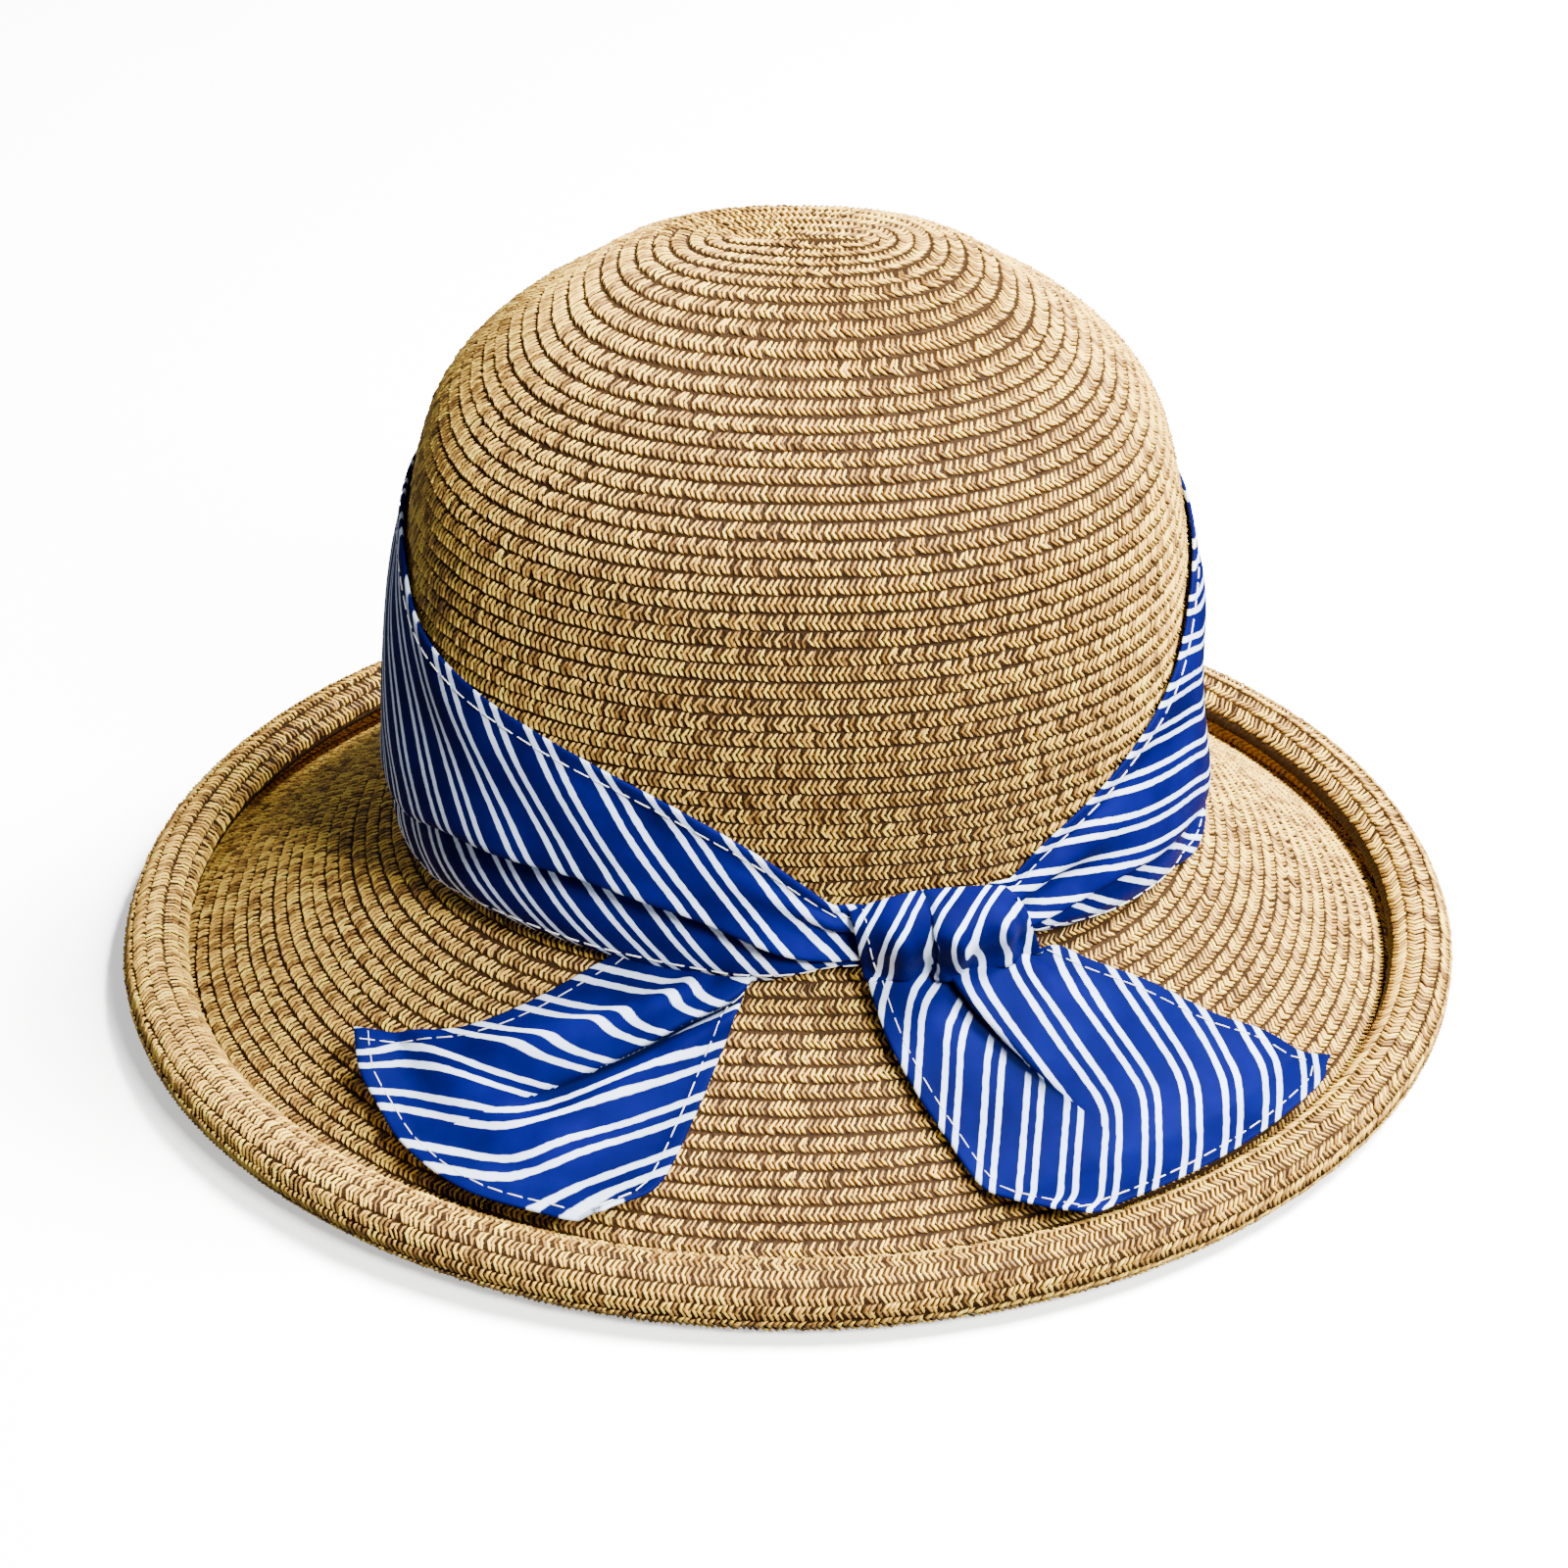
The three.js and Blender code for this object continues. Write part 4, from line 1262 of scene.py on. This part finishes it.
# %% Shader maths
class Socket:
    """One output of a node in a material. Plus, minus and times add a Math node, also when the
    number stands first."""

    def __init__(self, tree, output=None):
        self.tree, self.output = tree, output

    def node(self, kind, settings, inputs, output=0):
        """Add a node of a kind: its settings first, then the values or links of its sockets."""
        node = self.tree.nodes.new(kind)
        for key, value in settings.items():
            if key == "stops":
                ramp = node.color_ramp
                while len(ramp.elements) < len(value):
                    ramp.elements.new(0.5)
                for stop, (at, colour) in zip(ramp.elements, value):
                    stop.position, stop.color = at, (*colour, 1.0)
            else:
                setattr(node, key, value)
        for key, value in inputs.items():
            if isinstance(value, Socket):
                self.tree.links.new(value.output, node.inputs[key])
            else:
                node.inputs[key].default_value = value
        return Socket(self.tree, node.outputs[output])

    def math(self, operation, first, second=0.0):
        return self.node("ShaderNodeMath", {"operation": operation}, {0: first, 1: second})

    def __add__(self, other):
        return self.math("ADD", self, other)

    def __radd__(self, other):
        return self.math("ADD", other, self)

    def __sub__(self, other):
        return self.math("SUBTRACT", self, other)

    def __rsub__(self, other):
        return self.math("SUBTRACT", other, self)

    def __mul__(self, other):
        return self.math("MULTIPLY", self, other)

    def __rmul__(self, other):
        return self.math("MULTIPLY", other, self)

    def place(self):
        """The place on the piece in metres, for noise that stays with it."""
        return self.node("ShaderNodeTexCoord", {}, {}, "Object")

    def carried(self, name):
        """The number that a piece carries on its points under a name."""
        return self.node("ShaderNodeAttribute", {"attribute_name": name}, {}, "Fac")

    def map(self, name):
        """One of the piece's maps, and its two numbers as sockets of their own."""
        whole = self.node("ShaderNodeUVMap", {"uv_map": name}, {}, "UV")
        first = self.node("ShaderNodeSeparateXYZ", {}, {"Vector": whole}, "X")
        return whole, first, Socket(self.tree, first.output.node.outputs["Y"])

    def bump(self, strength, distance):
        """A normal that is bent as if this value were a height."""
        inputs = {"Strength": strength, "Distance": distance, "Height": self}
        return self.node("ShaderNodeBump", {}, inputs, "Normal")

    def coloured(self, stops):
        """The colour at this value between the stops of a ramp."""
        return self.node("ShaderNodeValToRGB", {"stops": stops}, {"Fac": self}, "Color")

    def clamped(self):
        return self.node("ShaderNodeClamp", {}, {"Value": self})

    def mixed(self, dark, light):
        """A colour between two others, with this value as the share of the second."""
        inputs = {0: self.clamped(), 6: dark, 7: light}
        return self.node("ShaderNodeMix", {"data_type": "RGBA"}, inputs, 2)

    def noise(self, place, scale, detail=2.0):
        return self.node("ShaderNodeTexNoise", {}, {"Vector": place, "Scale": scale, "Detail": detail})


def new_material(name, constants):
    """A material whose shader has some constants, and a socket to start its sums from."""
    material = bpy.data.materials.new(name)
    material.use_nodes = True
    for key, value in constants.items():
        material.node_tree.nodes["Principled BSDF"].inputs[key].default_value = value
    return material, Socket(material.node_tree)


def feed(start, key, value):
    """Link a socket to one of the inputs of its material's shader."""
    start.tree.links.new(value.output, start.tree.nodes["Principled BSDF"].inputs[key])


# %% [markdown]
# ### Straw
#
# Straw has a soft gloss that its fibres break up, and its colour runs from cream to light brown from
# one strand to the next. Each strand carries its tone and its depth as numbers on its points, so the
# colour follows the braid exactly; a noise in space could not know where one strand ends. The depth
# is painted shade: the colour goes to near black where a strand dives into the braid and on its sides.

# %% Straw
straw_stops = [
    (0.0, (0.15, 0.07, 0.014)),
    (0.3, (0.42, 0.23, 0.045)),
    (0.6, (0.84, 0.5, 0.08)),
    (1.0, (1.0, 0.74, 0.11)),
]
# the near black of the painted shade deep in the braid
PAINTED_BRAID_SHADE = (0.07, 0.025, 0.006, 1.0)

straw, start = new_material("braided_straw", {"Specular IOR Level": 0.35})
here = start.place()
fibres, patches = start.noise(here, 1600.0), start.noise(here, 38.0)
shade = start.carried("tone") * 0.9 + fibres * 0.5 + patches * 0.1 - 0.25
# the depth mixes painted shade into the colour, darkest where a strand dives into the braid
colour = (start.carried("depth") * 1.05).mixed(PAINTED_BRAID_SHADE, shade.coloured(straw_stops))
feed(start, "Base Color", colour)
feed(start, "Roughness", fibres * 0.25 + 0.36)
feed(start, "Normal", fibres.bump(0.5, 0.0001))
print("straw:", len(start.tree.nodes), "nodes")

# %% [markdown]
# The shells behind the strands are painted nearly black there, as the shade deep in the braid. On the
# faces that carry no strands they show the braid as a pattern instead: chevrons from a sine wave that
# is shifted towards both edges of a row, with painted shade darkening the row's edges where rows lap.

# %% Ground of the braid
ground, start = new_material("braid_ground", {"Specular IOR Level": 0.1})
crumbs = start.noise(start.place(), 700.0, 3.0)
round_rows, out_rows = start.map("braid")[1:]
from_middle = start.math("ABSOLUTE", start.math("FRACT", out_rows) - 0.5)
strands = start.math("SINE", (round_rows + from_middle * 1.3) * (2 * np.pi))
# painted shade: the pattern goes dark towards a row's edges, where the next row laps over it
row_painted_light = ((0.5 - from_middle) * 7.0).clamped()
woven_and_lap_shade = row_painted_light * (strands * 0.26 + 0.62) + crumbs * 0.2 - 0.1
# the nearly black painted shade that is seen deep in the braid between the strands
dark = (crumbs * 1.4 - 0.3).mixed((0.01, 0.004, 0.001, 1.0), (0.04, 0.018, 0.005, 1.0))
feed(start, "Base Color", start.carried("bare").mixed(dark, woven_and_lap_shade.coloured(straw_stops)))
feed(start, "Roughness", crumbs * 0.2 + 0.62)
feed(start, "Normal", woven_and_lap_shade.bump(0.6, 0.0006))
for piece, node in straw_pieces:
    piece.data.materials.append(ground if piece.name.endswith("ground") else straw)
print("ground of the braid:", len(start.tree.nodes), "nodes")

# %% [markdown]
# ### Striped cloth
#
# The scarf is royal blue with pairs of white stripes, in a smooth weave with hardly any gloss. The
# stripes follow the cloth, so they read its own map, where one unit is one pair of stripes. The
# stripe's edge steps from thread to thread, which a small wave along the stripe gives.

# %% Striped cloth
STRIPE_HALF, STRIPES_AT, EDGE_SHARPNESS = 0.073, (0.3, 0.65), 60.0
THREADS = 26.0
# the dark blue of the painted shade in folds and valleys
PAINTED_SHADE_BLUE = (0.0005, 0.002, 0.02, 1.0)

cloth, start = new_material("scarf_cloth", {"Specular IOR Level": 0.012})
fabric_map, across_stripes, along_stripes = start.map("fabric")
thread_wave = start.math("SINE", along_stripes * (THREADS * 2 * np.pi))
slub = start.noise(fabric_map, 4.0, 3.0)
place_in_pair = start.math("FRACT", across_stripes + thread_wave * 0.006 + slub * 0.05)
first, second = (
    ((STRIPE_HALF - start.math("ABSOLUTE", place_in_pair - middle)) * EDGE_SHARPNESS + 0.5).clamped()
    for middle in STRIPES_AT
)
white = (first + second).clamped()
here = start.place()
clouds, creases = start.noise(here, 60.0, 3.0), start.noise(here, 140.0)
weave = start.math("SINE", across_stripes * (THREADS * 2 * np.pi)) * thread_wave
blue = (clouds * 1.6 - 0.3).mixed((0.001, 0.001, 0.03, 1.0), (0.003, 0.004, 0.095, 1.0))
pale = (clouds * 1.2 - 0.1).mixed((0.52, 0.65, 0.9, 1.0), (0.7, 0.8, 1.0, 1.0))
# painted shade: the colour goes towards a dark blue under folds and in valleys
colour = (start.carried("hollow") * 0.85).mixed(white.mixed(blue, pale), PAINTED_SHADE_BLUE)
feed(start, "Base Color", colour)
feed(start, "Roughness", clouds * 0.16 + 0.46 + white * 0.08)
feed(start, "Normal", (weave * 0.12 + creases * 1.2).bump(0.5, 0.0004))
print("striped cloth:", len(start.tree.nodes), "nodes")

# %% [markdown]
# The stitches are pale twisted thread, with a fine grain and no stripes.

# %% Thread

thread, start = new_material("pale_thread", {})
twist = start.noise(start.place(), 2600.0, 1.0)
feed(start, "Base Color", twist.mixed((0.6, 0.58, 0.55, 1.0), (0.9, 0.89, 0.86, 1.0)))
feed(start, "Roughness", twist * 0.2 + 0.55)
feed(start, "Normal", twist.bump(0.4, 0.0001))
for piece, *_ in cloth_pieces:
    piece.data.materials.append(cloth)
    threads[piece.name].data.materials.append(thread)

# %% [markdown]
# ### Paper
#
# The floor is white paper without gloss. It glows a little, so that the shadow stays as pale on it as
# in the photograph.

# %% Paper
paper_constants = {"Roughness": 0.9, "Emission Color": (1.0, 1.0, 1.0, 1.0), "Emission Strength": 0.6}
paper, start = new_material("floor_paper", paper_constants)
grain = start.noise(start.place(), 9.0)
feed(start, "Base Color", grain.mixed((0.94, 0.94, 0.945, 1.0), (0.96, 0.96, 0.96, 1.0)))
floor.data.materials.append(paper)
print("materials:", [m.name for m in (straw, ground, cloth, thread, paper)])

# %% [markdown]
# ## Finish
#
# The last line prints how many triangles all the new pieces have.

# %% Finish
print("all new pieces:", sum(made.values()), "triangles")
